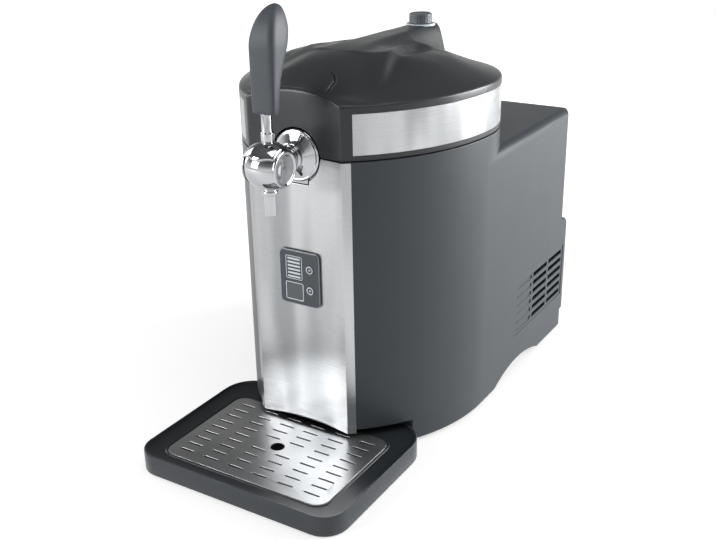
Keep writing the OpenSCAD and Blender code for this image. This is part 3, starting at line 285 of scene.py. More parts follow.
def piece(name, bm, body, finish, slot, nodes=(), bevel=0.0, segments=2, smooth=CREASE, wall=0.0):
    """Makes an object of a bmesh, gives it its finish and lets it ride on a body."""
    mesh = bpy.data.meshes.new(name)
    bm.to_mesh(mesh)
    bm.free()
    made = bpy.data.objects.new(name, mesh)
    bpy.context.scene.collection.objects.link(made)
    mesh.materials.append(bpy.data.materials[finish])
    mesh.shade_smooth()
    mesh.set_sharp_from_angle(angle=math.radians(smooth))
    if wall:
        thick = made.modifiers.new("Wall", 'SOLIDIFY')
        thick.thickness = wall
        thick.offset = -1
        thick.use_even_offset = True
    if bevel:
        edge = made.modifiers.new("Edges", 'BEVEL')
        edge.width = bevel
        edge.segments = segments
        edge.limit_method = 'ANGLE'
        edge.angle_limit = math.radians(smooth)
        edge.use_clamp_overlap = False
        edge.miter_outer = 'MITER_ARC'
        even = made.modifiers.new("Even shading", 'WEIGHTED_NORMAL')
        even.weight = 80
        even.keep_sharp = True
    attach(made, body)
    if nodes:
        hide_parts(*nodes)
    return made


def node_piece(name, node, body, finish, slot, bevel, segments=2, flat=0.5):
    """Makes a piece of a CAD node's own shape, with its edges rounded, in the node's place."""
    return piece(name, node_shape(node, flat), body, finish, slot, [node], bevel, segments)


def settle(made, smooth):
    """Applies a piece's modifiers."""
    shown = made.evaluated_get(bpy.context.evaluated_depsgraph_get())
    mesh = bpy.data.meshes.new_from_object(shown)
    made.modifiers.clear()
    old = made.data
    made.data = mesh
    bpy.data.meshes.remove(old)
    mesh.shade_smooth()
    mesh.set_sharp_from_angle(angle=math.radians(smooth))


def cut(made, cutters, smooth=CREASE):
    """Takes the cutters' bmeshes out of a piece."""
    tools = []
    for bm in cutters:
        if bm.calc_volume(signed=True) < 0:
            bmesh.ops.reverse_faces(bm, faces=bm.faces)
        mesh = bpy.data.meshes.new("cutter")
        bm.to_mesh(mesh)
        bm.free()
        tool = bpy.data.objects.new("cutter", mesh)
        bpy.context.scene.collection.objects.link(tool)
        tools.append(tool)
        slice_ = made.modifiers.new("Cut", 'BOOLEAN')
        slice_.object = tool
        slice_.operation = 'DIFFERENCE'
        slice_.solver = 'EXACT'
    bpy.context.view_layer.update()
    settle(made, smooth)
    for tool in tools:
        mesh = tool.data
        bpy.data.objects.remove(tool)
        bpy.data.meshes.remove(mesh)


def borders(low, high, count, bar, edge):
    """Borders of count slots between bars, with an edge at both ends."""
    pitch = (high - low - 2 * edge + bar) / count
    out = [low]
    for i in range(count):
        start = low + edge + i * pitch
        out += [start, start + pitch - bar]
    return out + [high]


def slotted(us, vs, at, inward, closed=()):
    """A sheet over us by vs borders with every second cell open; a closed column's slots are only sunk."""
    bm = bmesh.new()
    spot = bm.verts.layers.int.new("spot")
    nu, nv = len(us), len(vs)
    bmesh.ops.create_grid(bm, x_segments=nu - 1, y_segments=nv - 1, size=1)
    for v in bm.verts:
        v[spot] = round((v.co.x + 1) / 2 * (nu - 1)) * nv + round((v.co.y + 1) / 2 * (nv - 1))
    slots = {True: [], False: []}
    for f in bm.faces:
        i, j = divmod(min(v[spot] for v in f.verts), nv)
        if i % 2 and j % 2:
            slots[i in closed].append(f)
    for v in bm.verts:
        v.co = at(us[v[spot] // nv], vs[v[spot] % nv])
    bmesh.ops.delete(bm, geom=slots[False], context='FACES')
    if closed:
        made = bmesh.ops.extrude_discrete_faces(bm, faces=slots[True])["faces"]
        for v in {v for f in made for v in f.verts}:
            v.co += inward
    bmesh.ops.recalc_face_normals(bm, faces=bm.faces)
    if sum((f.normal for f in bm.faces), Vector()).dot(inward) > 0:
        bmesh.ops.reverse_faces(bm, faces=bm.faces)
    return bm


def corner_box(x, y0, y1, r0, r1, d=0.0, count=8):
    """Outline of a box with round corners, r0 in front and r1 behind, moved in by d."""
    arcs = ((x - r0, y0 + r0, r0, -90), (x - r1, y1 - r1, r1, 0),
            (r1 - x, y1 - r1, r1, 90), (r0 - x, y0 + r0, r0, 180))
    pts = []
    for cx, cy, r, begin in arcs:
        for k in range(count + 1):
            t = math.radians(begin + 90 * k / count)
            pts.append(Vector((cx + (r - d) * math.cos(t), cy + (r - d) * math.sin(t))))
    return pts


def front_ring(low, high, y, radius, d, count):
    """A rounded outline of a box's front, at depth y and moved in by d."""
    mid = (low + high) / 2
    half_x, half_z = (high.x - low.x) / 2, (high.z - low.z) / 2
    pts = corner_box(half_x, -half_z, half_z, radius, radius, d, count)
    return [Vector((mid.x + p.x, y, mid.z + p.y)) for p in pts]


def outline_frame(low, high, y, line, thick=0.00025, radius=0.0016):
    """A thin raised line round a box's front, with rounded corners, its back on y."""
    levels = ((0, 0), (0, thick), (line, thick), (line, 0))
    return lofted([front_ring(low, high, y - lift, radius, d, 5) for d, lift in levels])


class Plan:
    """Outline of the barrel and surface of the lid, in the barrel's own depth."""

    def __init__(self, s):
        self.s = s
        self.flank_c = s.flank_radius - s.half_width
        self.corner_c = s.half_width - s.rear_radius
        self.turn = math.radians(60)  # where the rear corner ends and the tail's wider arc begins
        self.tail_c = self.corner_c * math.tan(self.turn)
        self.tail_r = s.rear_radius + self.corner_c / math.cos(self.turn)
        self.back = self.tail_r - self.tail_c
        self.face_y = -math.sqrt(s.flank_radius ** 2 - (s.face_half + self.flank_c) ** 2)
        self.mid_face = self.face_y + s.face_sag
        self.face_r = (s.face_half ** 2 + s.face_sag ** 2) / (2 * s.face_sag)
        self.face_c = self.mid_face - self.face_r
        self.band_front = self.front_at(0.057) + 0.001  # the band starts beside the front block
        self.band_back = self.back - 0.026

    def face_at(self, x, d=0.0):
        """Depth of the hollow front face at x."""
        return self.face_c + math.sqrt((self.face_r + d) ** 2 - x * x)

    def front_at(self, x):
        """Depth of the flank at x, in front."""
        return -math.sqrt(self.s.flank_radius ** 2 - (x + self.flank_c) ** 2)

    def meet(self, d):
        """Where the front face and the right flank meet."""
        ra, rb = self.s.flank_radius - d, self.face_r + d
        dist = math.hypot(self.flank_c, self.face_c)
        ux, uy = self.flank_c / dist, self.face_c / dist
        a = (ra * ra - rb * rb + dist * dist) / (2 * dist)
        h = math.sqrt(ra * ra - a * a)
        return Vector((-self.flank_c + a * ux - h * uy, a * uy + h * ux))

    def half(self, d, corner=0.0018):
        """Right half of the outline from front to back, with marks for the band's part."""
        s, m = self.s, self.meet(d)
        face_steps, corner_steps, flank_steps, rear_steps, tail_steps = 12, 7, 44, 30, 22
        xs = [(m.x - corner) * i / face_steps for i in range(face_steps + 1)]
        out = [(Vector((x, self.face_at(x, d))), False) for x in xs]
        # the corner between the face and the flank
        r = s.flank_radius - d
        begin = math.atan2(m.y, m.x + self.flank_c) + corner / r
        a = out.pop()[0]
        b = Vector((-self.flank_c + r * math.cos(begin), r * math.sin(begin)))
        for k in range(corner_steps + 1):
            t = k / corner_steps
            out.append((a * (1 - t) ** 2 + m * 2 * t * (1 - t) + b * t * t, False))
        # the flank, with the band from a point just behind its start
        fore = math.asin(self.band_front / s.flank_radius)
        slip = 0.00004 / s.flank_radius
        turns = [(begin + (fore - begin) * k / 2, False) for k in (1, 2)]
        turns += [(fore + slip - (fore + slip) * k / flank_steps, True) for k in range(flank_steps + 1)]
        out += [(Vector((-self.flank_c + r * math.cos(t), r * math.sin(t))), f) for t, f in turns]
        # the rear corner, where the band ends
        r = s.rear_radius - d
        aft = math.asin(self.band_back / s.rear_radius)
        turns = [(aft * k / rear_steps, True) for k in range(1, rear_steps + 1)] + [(aft + slip, False)]
        turns += [(aft + (self.turn - aft) * k / 4, False) for k in (1, 2, 3, 4)]
        out += [(Vector((self.corner_c + r * math.cos(t), r * math.sin(t))), f) for t, f in turns]
        r = self.tail_r - d
        for k in range(1, tail_steps + 1):
            t = self.turn + (math.pi / 2 - self.turn) * k / tail_steps
            out.append((Vector((r * math.cos(t), r * math.sin(t) - self.tail_c)), False))
        return out

    def outline(self, d, sunk=0.0):
        """Closed outline moved in by d, with the band's part sunk deeper."""
        near, deep = self.half(d), self.half(d + sunk)
        right = [q if f else p for (p, f), (q, _) in zip(near, deep)]
        right[0].x = right[-1].x = 0.0
        return right + [Vector((-p.x, p.y)) for p in reversed(right[1:-1])]

    def rim_dist(self, x, y):
        """Distance to the rim at the side and behind."""
        ax = abs(x)
        if y < 0:
            return self.s.flank_radius - math.hypot(ax + self.flank_c, y)
        if ax > self.corner_c and math.atan2(y, ax - self.corner_c) < self.turn:
            return self.s.rear_radius - math.hypot(ax - self.corner_c, y)
        return self.tail_r - math.hypot(ax, y + self.tail_c)

    def dome(self, x, y):
        """Height of the dome alone, a soft cone that meets the rim."""
        blend, slope = 0.012, 0.068
        side, fore = self.rim_dist(x, y), y - self.face_at(min(abs(x), 0.1))
        near = -blend * math.log(math.exp(-side / blend) + math.exp(-fore / blend))
        t = 1 - clamp(near / slope)
        fall = clamp((y + 0.040) / 0.150)
        bend = 1.2 - 0.2 * clamp((y + 0.030) / 0.060)
        return self.s.rim + self.s.dome_rise * (1 - t ** bend) * (1 - 0.4 * fall)

    def surface(self, x, y):
        """Height of the lid over a point of its plan: the dome with the rib and hump blended on it."""
        s = self.s
        g = clamp((y - self.mid_face) / -self.mid_face)
        half = s.hump_half + (s.face_half - s.hump_half) * (1 - g) ** 2.2
        crest = s.rim + s.brow_rise + (s.rib_rise - s.brow_rise) * (1 - (1 - g) ** 4)
        sharp = 2.2 + 3.8 * ease(g / 0.85)
        fade = clamp((y + 0.060) / 0.040)
        edge = fade + (1 - fade) * (1 - (1 - clamp(self.rim_dist(x, y) / 0.015)) ** 2)
        across = math.exp(-(abs(x) / (half * 1.12)) ** sharp)
        return self.dome(x, y) + (crest - self.dome(0, y)) * across * edge

    def scoop(self, x, y):
        """Depth of the finger scoops on both sides of the hump, between an inner and an outer line."""
        inner = table([(-0.112, 0.067), (-0.092, 0.060), (-0.072, 0.051), (-0.051, 0.043),
                       (-0.034, 0.037), (-0.011, 0.030), (0.030, 0.026)], y)
        outer = table([(-0.112, 0.070), (-0.099, 0.073), (-0.076, 0.080), (-0.043, 0.086),
                       (-0.019, 0.087), (0.010, 0.080), (0.030, 0.066)], y)
        u = (abs(x) - inner) / max(outer - inner, 0.004)
        across = ease(u / 0.24) * (1 - ease((u - 0.24) / 0.76))
        length = ease((y + 0.112) / 0.050) * (1 - ease((y - 0.006) / 0.032))
        return self.s.scoop_depth * across * length

# ---------------------------------------------------------------- finishes

MOULDED = "Moulded surface"
BRUSHED = "Brushed lines"


def add(tree, kind, **values):
    """Adds a node; a name with an underscore in front is one of the node's own settings."""
    made = tree.nodes.new(kind)
    for key, value in values.items():
        if key.startswith("_"):
            setattr(made, key[1:], value)
        else:
            made.inputs[key.replace("_", " ")].default_value = value
    return made


def new_group(name, sockets_in, sockets_out):
    """A node group with its inputs (name, kind, value) and outputs (name, kind)."""
    tree = bpy.data.node_groups.new(name, 'ShaderNodeTree')
    kinds = {'C': 'NodeSocketColor', 'F': 'NodeSocketFloat', 'V': 'NodeSocketVector'}
    for label, kind, value in sockets_in:
        socket = tree.interface.new_socket(label, in_out='INPUT', socket_type=kinds[kind])
        if value is not None:
            socket.default_value = value
    for label, kind in sockets_out:
        tree.interface.new_socket(label, in_out='OUTPUT', socket_type=kinds[kind])
    return tree, tree.nodes.new('NodeGroupInput'), tree.nodes.new('NodeGroupOutput')


def spread(tree, source, low, high):
    """Maps a noise of 0.3 to 0.7 onto low to high."""
    made = add(tree, 'ShaderNodeMapRange', From_Min=0.3, From_Max=0.7, To_Min=0.0, To_Max=1.0)
    tree.links.new(source, made.inputs['Value'])
    mix = add(tree, 'ShaderNodeMix', _data_type='FLOAT')
    tree.links.new(made.outputs['Result'], mix.inputs['Factor'])
    tree.links.new(low, mix.inputs['A'])
    tree.links.new(high, mix.inputs['B'])
    return mix.outputs['Result']


def moulded_group():
    """Fine grain of a moulded plastic, with a slow change of colour and shine."""
    tree, inside, out = new_group(
        MOULDED,
        [("Vector", 'V', None), ("Colour A", 'C', None), ("Colour B", 'C', None), ("Grain", 'F', 2200.0),
         ("Rough A", 'F', 0.3), ("Rough B", 'F', 0.4)],
        [("Colour", 'C'), ("Roughness", 'F'), ("Height", 'F')])
    link = tree.links.new
    fine = add(tree, 'ShaderNodeTexNoise', Detail=2.0, Roughness=0.6)
    link(inside.outputs['Vector'], fine.inputs['Vector'])
    link(inside.outputs['Grain'], fine.inputs['Scale'])
    slow = add(tree, 'ShaderNodeTexNoise', Scale=14.0, Detail=3.0, Roughness=0.55)
    link(inside.outputs['Vector'], slow.inputs['Vector'])
    mix = add(tree, 'ShaderNodeMix', _data_type='RGBA')
    link(slow.outputs['Fac'], mix.inputs['Factor'])
    link(inside.outputs['Colour A'], mix.inputs[6])
    link(inside.outputs['Colour B'], mix.inputs[7])
    link(mix.outputs[2], out.inputs['Colour'])
    rough = spread(tree, slow.outputs['Fac'], inside.outputs['Rough A'], inside.outputs['Rough B'])
    link(rough, out.inputs['Roughness'])
    link(fine.outputs['Fac'], out.inputs['Height'])


def brushed_group():
    """Fine lines of brushed metal, with slow bands of painted reflection that darken the colour in broad
    streaks; the vector is stretched along the brushing.
    """
    tree, inside, out = new_group(
        BRUSHED,
        [("Vector", 'V', None), ("Reflection band vector", 'V', None), ("Colour A", 'C', None), ("Colour B", 'C', None),
         ("Rough A", 'F', 0.25), ("Rough B", 'F', 0.4), ("Reflection banding", 'F', 0.3)],
        [("Colour", 'C'), ("Roughness", 'F'), ("Height", 'F')])
    link = tree.links.new
    lines = add(tree, 'ShaderNodeTexNoise', Scale=1.0, Detail=5.0, Roughness=0.7)
    link(inside.outputs['Vector'], lines.inputs['Vector'])
    mix = add(tree, 'ShaderNodeMix', _data_type='RGBA')
    link(lines.outputs['Fac'], mix.inputs['Factor'])
    link(inside.outputs['Colour A'], mix.inputs[6])
    link(inside.outputs['Colour B'], mix.inputs[7])
    # painted reflection: slow noise bands pull the metal's colour towards grey in streaks, standing in for
    # uneven reflections
    reflection_bands = add(tree, 'ShaderNodeTexNoise', Scale=1.0, Detail=1.0, Roughness=0.4)
    link(inside.outputs['Reflection band vector'], reflection_bands.inputs['Vector'])
    soft = add(tree, 'ShaderNodeMapRange', _interpolation_type='SMOOTHSTEP', From_Min=0.36, From_Max=0.64)
    link(reflection_bands.outputs['Fac'], soft.inputs['Value'])
    reflection_weight = add(tree, 'ShaderNodeMath', _operation='MULTIPLY')
    link(soft.outputs['Result'], reflection_weight.inputs[0])
    link(inside.outputs['Reflection banding'], reflection_weight.inputs[1])
    reflection_darkening = add(tree, 'ShaderNodeMix', _data_type='RGBA', _blend_type='MULTIPLY')
    reflection_darkening.inputs[7].default_value = (0.30, 0.32, 0.34, 1)
    link(reflection_weight.outputs[0], reflection_darkening.inputs['Factor'])
    link(mix.outputs[2], reflection_darkening.inputs[6])
    link(reflection_darkening.outputs[2], out.inputs['Colour'])
    rough = spread(tree, lines.outputs['Fac'], inside.outputs['Rough A'], inside.outputs['Rough B'])
    link(rough, out.inputs['Roughness'])
    link(lines.outputs['Fac'], out.inputs['Height'])


def shade(colour, factor):
    """A colour made lighter or darker, with its alpha."""
    return (colour[0] * factor, colour[1] * factor, colour[2] * factor, 1.0)


def new_finish(name, group, colour, rough, swing, grain=None, stretch=(1, 1, 1), reflection_bands=None,
               bump=0.0, depth=0.0001, **shader):
    """A material whose colour, roughness and bump come from one of the groups."""
    made = bpy.data.materials.new(name)
    made.use_nodes = True
    made.diffuse_color = shade(colour, 1.0)
    tree = made.node_tree
    tree.nodes.clear()
    link = tree.links.new
    where = add(tree, 'ShaderNodeTexCoord')
    along = add(tree, 'ShaderNodeMapping', Scale=stretch)
    link(where.outputs['Object'], along.inputs['Vector'])
    effect = add(tree, 'ShaderNodeGroup', _node_tree=bpy.data.node_groups[group])
    link(along.outputs['Vector'], effect.inputs['Vector'])
    effect.inputs['Colour A'].default_value = shade(colour, 1 - swing)
    effect.inputs['Colour B'].default_value = shade(colour, 1 + swing)
    effect.inputs['Rough A'].default_value = rough[0]
    effect.inputs['Rough B'].default_value = rough[1]
    if grain:
        effect.inputs['Grain'].default_value = grain
    # the slow bands paint reflection streaks into the colour
    if reflection_bands:
        broad = add(tree, 'ShaderNodeMapping', Scale=reflection_bands[:3])
        link(where.outputs['Object'], broad.inputs['Vector'])
        link(broad.outputs['Vector'], effect.inputs['Reflection band vector'])
        effect.inputs['Reflection banding'].default_value = reflection_bands[3]
    surface = add(tree, 'ShaderNodeBsdfPrincipled', **shader)
    link(effect.outputs['Colour'], surface.inputs['Base Color'])
    link(effect.outputs['Roughness'], surface.inputs['Roughness'])
    if bump:
        relief = add(tree, 'ShaderNodeBump', Strength=bump, Distance=depth)
        link(effect.outputs['Height'], relief.inputs['Height'])
        link(relief.outputs['Normal'], surface.inputs['Normal'])
    out = add(tree, 'ShaderNodeOutputMaterial')
    link(surface.outputs['BSDF'], out.inputs['Surface'])
    return made


class KEG_OT_finishes(Operator):
    """Makes the finishes of the plastics, metals, rubber and marks"""
    bl_idname = "keg.finishes"
    bl_label = "Finishes"

    def execute(self, context):
        c = context.scene.keg_colours
        moulded_group()
        brushed_group()

        def moulded(name, colour, rough, swing, grain, bump, **shader):
            new_finish(name, MOULDED, colour, rough, swing, grain, bump=bump, **shader)

        moulded("casing_satin", c.casing, (0.30, 0.38), 0.06, 2600, 0.10, Specular_IOR_Level=0.36)
        moulded("lid_satin", c.lid, (0.26, 0.34), 0.06, 2600, 0.10, Specular_IOR_Level=0.4)
        moulded("base_matt", c.base, (0.45, 0.55), 0.08, 2200, 0.2)
        moulded("tray_satin", c.tray, (0.20, 0.30), 0.07, 2400, 0.12)
        # painted shade: the basin is the tray's own plastic made darker, standing in for the shade inside the
        # tray
        moulded("basin_satin", shade(c.tray, 0.45), (0.26, 0.36), 0.07, 2400, 0.12, Specular_IOR_Level=0.35)
        moulded("handle_satin", c.handle, (0.44, 0.52), 0.06, 3200, 0.10, Specular_IOR_Level=0.3)
        moulded("knob_satin", c.knob, (0.35, 0.45), 0.06, 2600, 0.1)
        moulded("plate_gloss", c.plate, (0.14, 0.20), 0.04, 1500, 0.03)
        moulded("screen_gloss", (0.085, 0.097, 0.107), (0.08, 0.13), 0.05, 800, 0.02)
        moulded("mark_light", c.mark, (0.30, 0.40), 0.04, 1500, 0.05)
        # painted highlight: a pale grey for the line that stands in for the light catching the control
        # plate's edge
        moulded("line_grey", (0.26, 0.29, 0.32), (0.25, 0.35), 0.04, 1500, 0.05)
        moulded("key_light", (0.62, 0.80, 0.95), (0.2, 0.3), 0.04, 900, 0.02)
        moulded("rubber_matt", (0.018, 0.018, 0.019), (0.62, 0.75), 0.1, 1800, 0.3)
        moulded("liner_matt", (0.10, 0.11, 0.12), (0.42, 0.52), 0.05, 2000, 0.2)
        moulded("foam_cells", (0.72, 0.70, 0.62), (0.85, 0.95), 0.08, 1100, 0.7)
        moulded("board_green", (0.03, 0.14, 0.05), (0.3, 0.45), 0.15, 900, 0.1)
        moulded("ceramic_white", (0.78, 0.78, 0.76), (0.5, 0.6), 0.03, 1200, 0.1)
        moulded("cartridge_red", (0.24, 0.035, 0.028), (0.25, 0.35), 0.05, 1500, 0.05)
        moulded("alloy_cast", (0.46, 0.47, 0.48), (0.38, 0.5), 0.06, 1600, 0.25, Metallic=1.0)
        moulded("chrome_bright", c.chrome, (0.035, 0.06), 0.02, 120, 0.02, Metallic=1.0)
        moulded("steel_wire", (0.55, 0.56, 0.57), (0.2, 0.3), 0.05, 1500, 0.05, Metallic=1.0)
        fine = 0.00005
        # both steels carry slow bands of painted reflection in their colour
        new_finish("steel_brushed_round", BRUSHED, shade(c.steel, 0.74), (0.24, 0.36), 0.06,
                   stretch=(9, 9, 3200), reflection_bands=(34, 34, 5, 0.55), bump=0.15, depth=fine,
                   Metallic=1.0, Anisotropic=0.5)
        new_finish("steel_brushed_flat", BRUSHED, shade(c.steel, 0.72), (0.30, 0.42), 0.08,
                   stretch=(9, 3200, 9), reflection_bands=(5, 14, 1, 0.35), bump=0.18, depth=fine,
                   Metallic=1.0, Anisotropic=0.4)
        return {'FINISHED'}


# ---------------------------------------------------------------- pieces

class KEG_OT_casing(Operator):
    """Builds the casing, base, feet, vents, rear cover and power inlet"""
    bl_idname = "keg.casing"
    bl_label = "Casing"

    def execute(self, context):
        outer = ("casing", "casing_satin", "casing_plastic")
        dark = ("casing", "base_matt", "base_plastic")
        piece("casing_moulding", self.shell(), *outer, ["body_shell"], 0.0004, 3)
        node_piece("base_moulding", "base", *outer, 0.0010, 3)
        node_piece("feet_rubber", "rubber_feet", "casing", "rubber_matt", "soft_rubber", 0.0008)
        for side, word in reversed(SIDES):
            self.vent(side, word)
        node_piece("rear_cover_moulding", "rear_cover", *outer, 0.0004, flat=0)
        node_piece("inlet_moulding", "power_inlet", *dark, 0.0003)
        node_piece("hinge_ears", "hinge_brackets", *dark, 0.0005)
        node_piece("deck_moulding", "top_deck", "casing", "liner_matt", "base_plastic", 0.0005)
        return {'FINISHED'}

    def shell(self):
        """The casing's shape, with the lower edge of the side openings raised to the foot of the vents."""
        bm = node_shape("body_shell")
        low, high = corners("vent_grille_right")
        rebate, near, inner = 0.003, 0.0006, 0.1
        for v in bm.verts:
            x, y, z = v.co
            on_side = abs(x) > inner and low.y - 0.001 < y < high.y + 0.001
            if on_side and z < VENT_FOOT and abs(z - low.z - rebate) < near:
                v.co.z = VENT_FOOT
        return bm

    def vent(self, side, word):
        """A slotted plate let into one side, its front column closed, with a sunk flange round it."""
        columns, rows, bar, slat, edge = 3, 6, 0.005, 0.0048, 0.004
        wall, sink, flange = 0.0024, 0.0011, 0.0024
        low, high = corners("vent_grille_" + word)
        face = max(high.x, -low.x)
        y0, y1, z0, z1 = low.y + 0.0033, high.y - 0.0018, VENT_FOOT + 0.0003, high.z - 0.0033
        plate = slotted(borders(y0, y1, columns, bar, edge), borders(z0, z1, rows, slat, edge),
                        lambda u, v: Vector((side * face, u, v)), Vector((-side * sink, 0, 0)), closed=(1,))
        piece("vent_" + word, plate, "casing", "casing_satin", "casing_plastic", ["vent_grille_" + word],
              0.0003, wall=wall)
        mid = Vector((0, (y0 + y1) / 2, (z0 + z1) / 2))
        inner, deep = face - 0.0025, face - 0.0044
        rings = []
        for out, depth in ((flange, inner - 0.0003), (flange, deep), (-flange, deep), (-flange, inner)):
            half_y, half_z = (y1 - y0) / 2 + out, (z1 - z0) / 2 + out
            pts = corner_box(half_y, -half_z, half_z, 0.001, 0.001)
            rings.append([Vector((side * depth, p.x, p.y)) + mid for p in pts])
        piece("vent_flange_" + word, lofted(rings), "casing", "base_matt", "casing_plastic", bevel=0.0003)


class KEG_OT_front(Operator):
    """Builds the steel front panel and the control plate with its keys, window and gauge"""
    bl_idname = "keg.front"
    bl_label = "Front panel"

    def execute(self, context):
        node_piece("panel_steel", "front_panel", "casing", "steel_brushed_round", "brushed_sheet", 0.0003)
        node_piece("control_plate_moulding", "control_plate", "casing", "plate_gloss", "base_plastic",
                   0.0005, 3)
        self.marks()
        for node, body in (("power_button", "power_key"), ("cooling_button", "cooling_key")):
            self.key(node, body)
        return {'FINISHED'}

    def marks(self):
        """A pale line round the plate that paints the highlight of its edge, and the display window and the
        level gauge, each with its own line.
        """
        low, high = corners("control_plate")
        front, radius = low.y, 0.004
        levels = ((-0.0004, 0.0010), (-0.0004, 0.0003), (-0.0001, -0.0001), (0.0003, 0), (0.0003, 0.0006))
        rings = [front_ring(low, high, front + behind, radius, d, 6) for d, behind in levels]
        # painted highlight along the plate's edge, as a pale raised line
        piece("control_plate_edge_highlight", lofted(rings), "casing", "line_grey", "light_mark")
        light = ("casing", "mark_light", "light_mark")
        low, high = corners("display_window")
        node_piece("display_glass", "display_window", "casing", "screen_gloss", "screen", 0.00015)
        margin = Vector((0.0002, 0, 0.0002))
        piece("display_line", outline_frame(low - margin, high + margin, front, 0.0008), *light)
        low, high = corners("level_gauge")
        node_piece("gauge_bars", "level_gauge", *light, 0.0001)
        below, above = Vector((0.0022, 0, 0.0018)), Vector((0.0022, 0, 0.0020))
        piece("gauge_line", outline_frame(low - below, high + above, front, 0.0006), *light)

    def key(self, node, body):
        """A touch key: a cap with a flange behind the plate, a raised ring and a light."""
        low, high = corners(node)
        mid = (low + high) / 2
        mid.y = 0
        forward = (0, -1, 0)
        face, rear = -low.y, -high.y
        r, flange, ring_in, ring_out, ring_foot = 0.0042, 0.0012, 0.0029, 0.0038, face - 0.0004
        cap = [(0, face - 0.0002, 0), (r - 0.0009, face, 0.0003), (r, face - 0.0003, 0.0002),
               (r, rear + flange, 0), (r + flange, rear + flange, 0), (r + flange, rear, 0), (0, rear, 0)]
        piece(node + "_cap", turned(cap, mid, forward, 40), body, "plate_gloss", "base_plastic", [node])
        line = [(ring_in, face + 0.0001, 0.0001), (ring_out, face + 0.0001, 0.0001), (ring_out, ring_foot, 0),
                (ring_in, ring_foot, 0)]
        piece(node + "_line", turned(line, mid, forward, 40, ring=True), body, "mark_light", "light_mark")
        dot = [(0, face + 0.0004, 0), (0.0007, face + 0.0003, 0.0002), (0.0011, face - 0.0003, 0),
               (0, face - 0.0003, 0)]
        piece(node + "_light", turned(dot, mid, forward, 24), body, "key_light", "light_mark")


class KEG_OT_tray(Operator):
    """Builds the drip tray and its slotted grille"""
    bl_idname = "keg.tray"
    bl_label = "Drip tray"

    def execute(self, context):
        s = context.scene.keg_tray
        top = s.rim

        def wall(d, z):
            return level(corner_box(s.half, -s.reach, -s.back, s.front_corner, s.rear_corner, d), z)

        def well(d, z):
            front, radius = s.edge - s.reach, 0.012
            return level(corner_box(s.grille_half, front, front + s.grille_length, radius, radius, d), z)

        # rows of (how far in, height), and of (how far in, drop under the rim)
        foot = [(0.0008, 0.0010), (0.0002, 0.0014), (0, 0.0020)]
        rim = [(0, 0.0009), (0.0002, 0.0003), (0.0006, 0), (0.0011, 0.0001), (0.0014, 0.0004),
               (0.0016, 0.0010), (0.0018, 0.0060)]
        outer = [wall(d, z) for d, z in foot] + [wall(d, top - drop) for d, drop in rim]
        piece("tray_wall", lofted(outer, cap_start=True), "tray", "tray_satin", "tray_plastic",
              ["drip_tray", "tray_floor"])
        slope = [(0.0014, 0.0008), (0.0022, 0.0014), (0.0036, 0.0020), (0.0056, 0.0024)]
        bead = [(-0.0034, 0.0026), (-0.0030, 0.0022), (-0.0024, 0.0018), (-0.0016, 0.0018), (-0.0009, 0.0021),
                (-0.0004, 0.0026), (-0.0003, 0.0038), (0.0046, 0.0038), (0.0050, 0.0042)]
        bottom = [(0.0052, 0.0062), (0.0060, 0.0046), (0.0080, 0.0040), (0.0120, 0.0038)]
        inner = [wall(d, top - drop) for d, drop in slope] + [well(d, top - drop) for d, drop in bead]
        inner += [well(d, z) for d, z in bottom]
        # the basin's finish carries painted shade, a darker copy of the tray's colour
        piece("tray_basin", lofted(inner, cap_end=True), "tray", "basin_satin", "tray_plastic")
        for side, word in SIDES:
            self.runner(s, side, word)
        node_piece("grille_steel", "drip_grille", "grille", "steel_brushed_flat", "brushed_sheet", 0.0002,
                   flat=0)
        return {'FINISHED'}

    def runner(self, s, side, word):
        """A bar behind the tray that slides in the casing."""
        x0, y0 = side * 0.052, -s.back - 0.002
        half, low, high, round_, length, taper = 0.008, 0.009, 0.013, 0.001, 0.0270, 0.0006
        rings = []
        for y, d in ((0, 0), (length, 0), (length + 0.0008, taper)):
            pts = corner_box(half, low, high, round_, round_, d)
            rings.append([place(x0 + p.x, y0 + y, p.y) for p in pts])
        bm = lofted(rings, cap_start=True, cap_end=True)
        piece("tray_runner_" + word, bm, "tray", "tray_satin", "tray_plastic")


def release_outline(plan, d, count=10):
    """Outline of the release button moved in by d, from the right front corner round the back."""
    half, soft = 0.0305 - d, 0.012 - d
    front, back = plan.mid_face + BUTTON_START + d, plan.face_y + 0.0310 - d
    side = [Vector((half, front + (back - soft - front) * k / count)) for k in range(count + 1)]
    bend = [Vector((half - soft + soft * math.cos(t), back - soft + soft * math.sin(t)))
            for t in (math.pi / 2 * k / count for k in range(1, count + 1))]
    rear = [Vector(((half - soft) * (1 - k / count), back)) for k in range(1, count + 1)]
    right = side + bend + rear
    left = [Vector((-p.x, p.y)) for p in reversed(right[:-1])]
    fore = [Vector((-half + 2 * half * k / (2 * count), front)) for k in range(1, 2 * count)]
    return right + left, fore


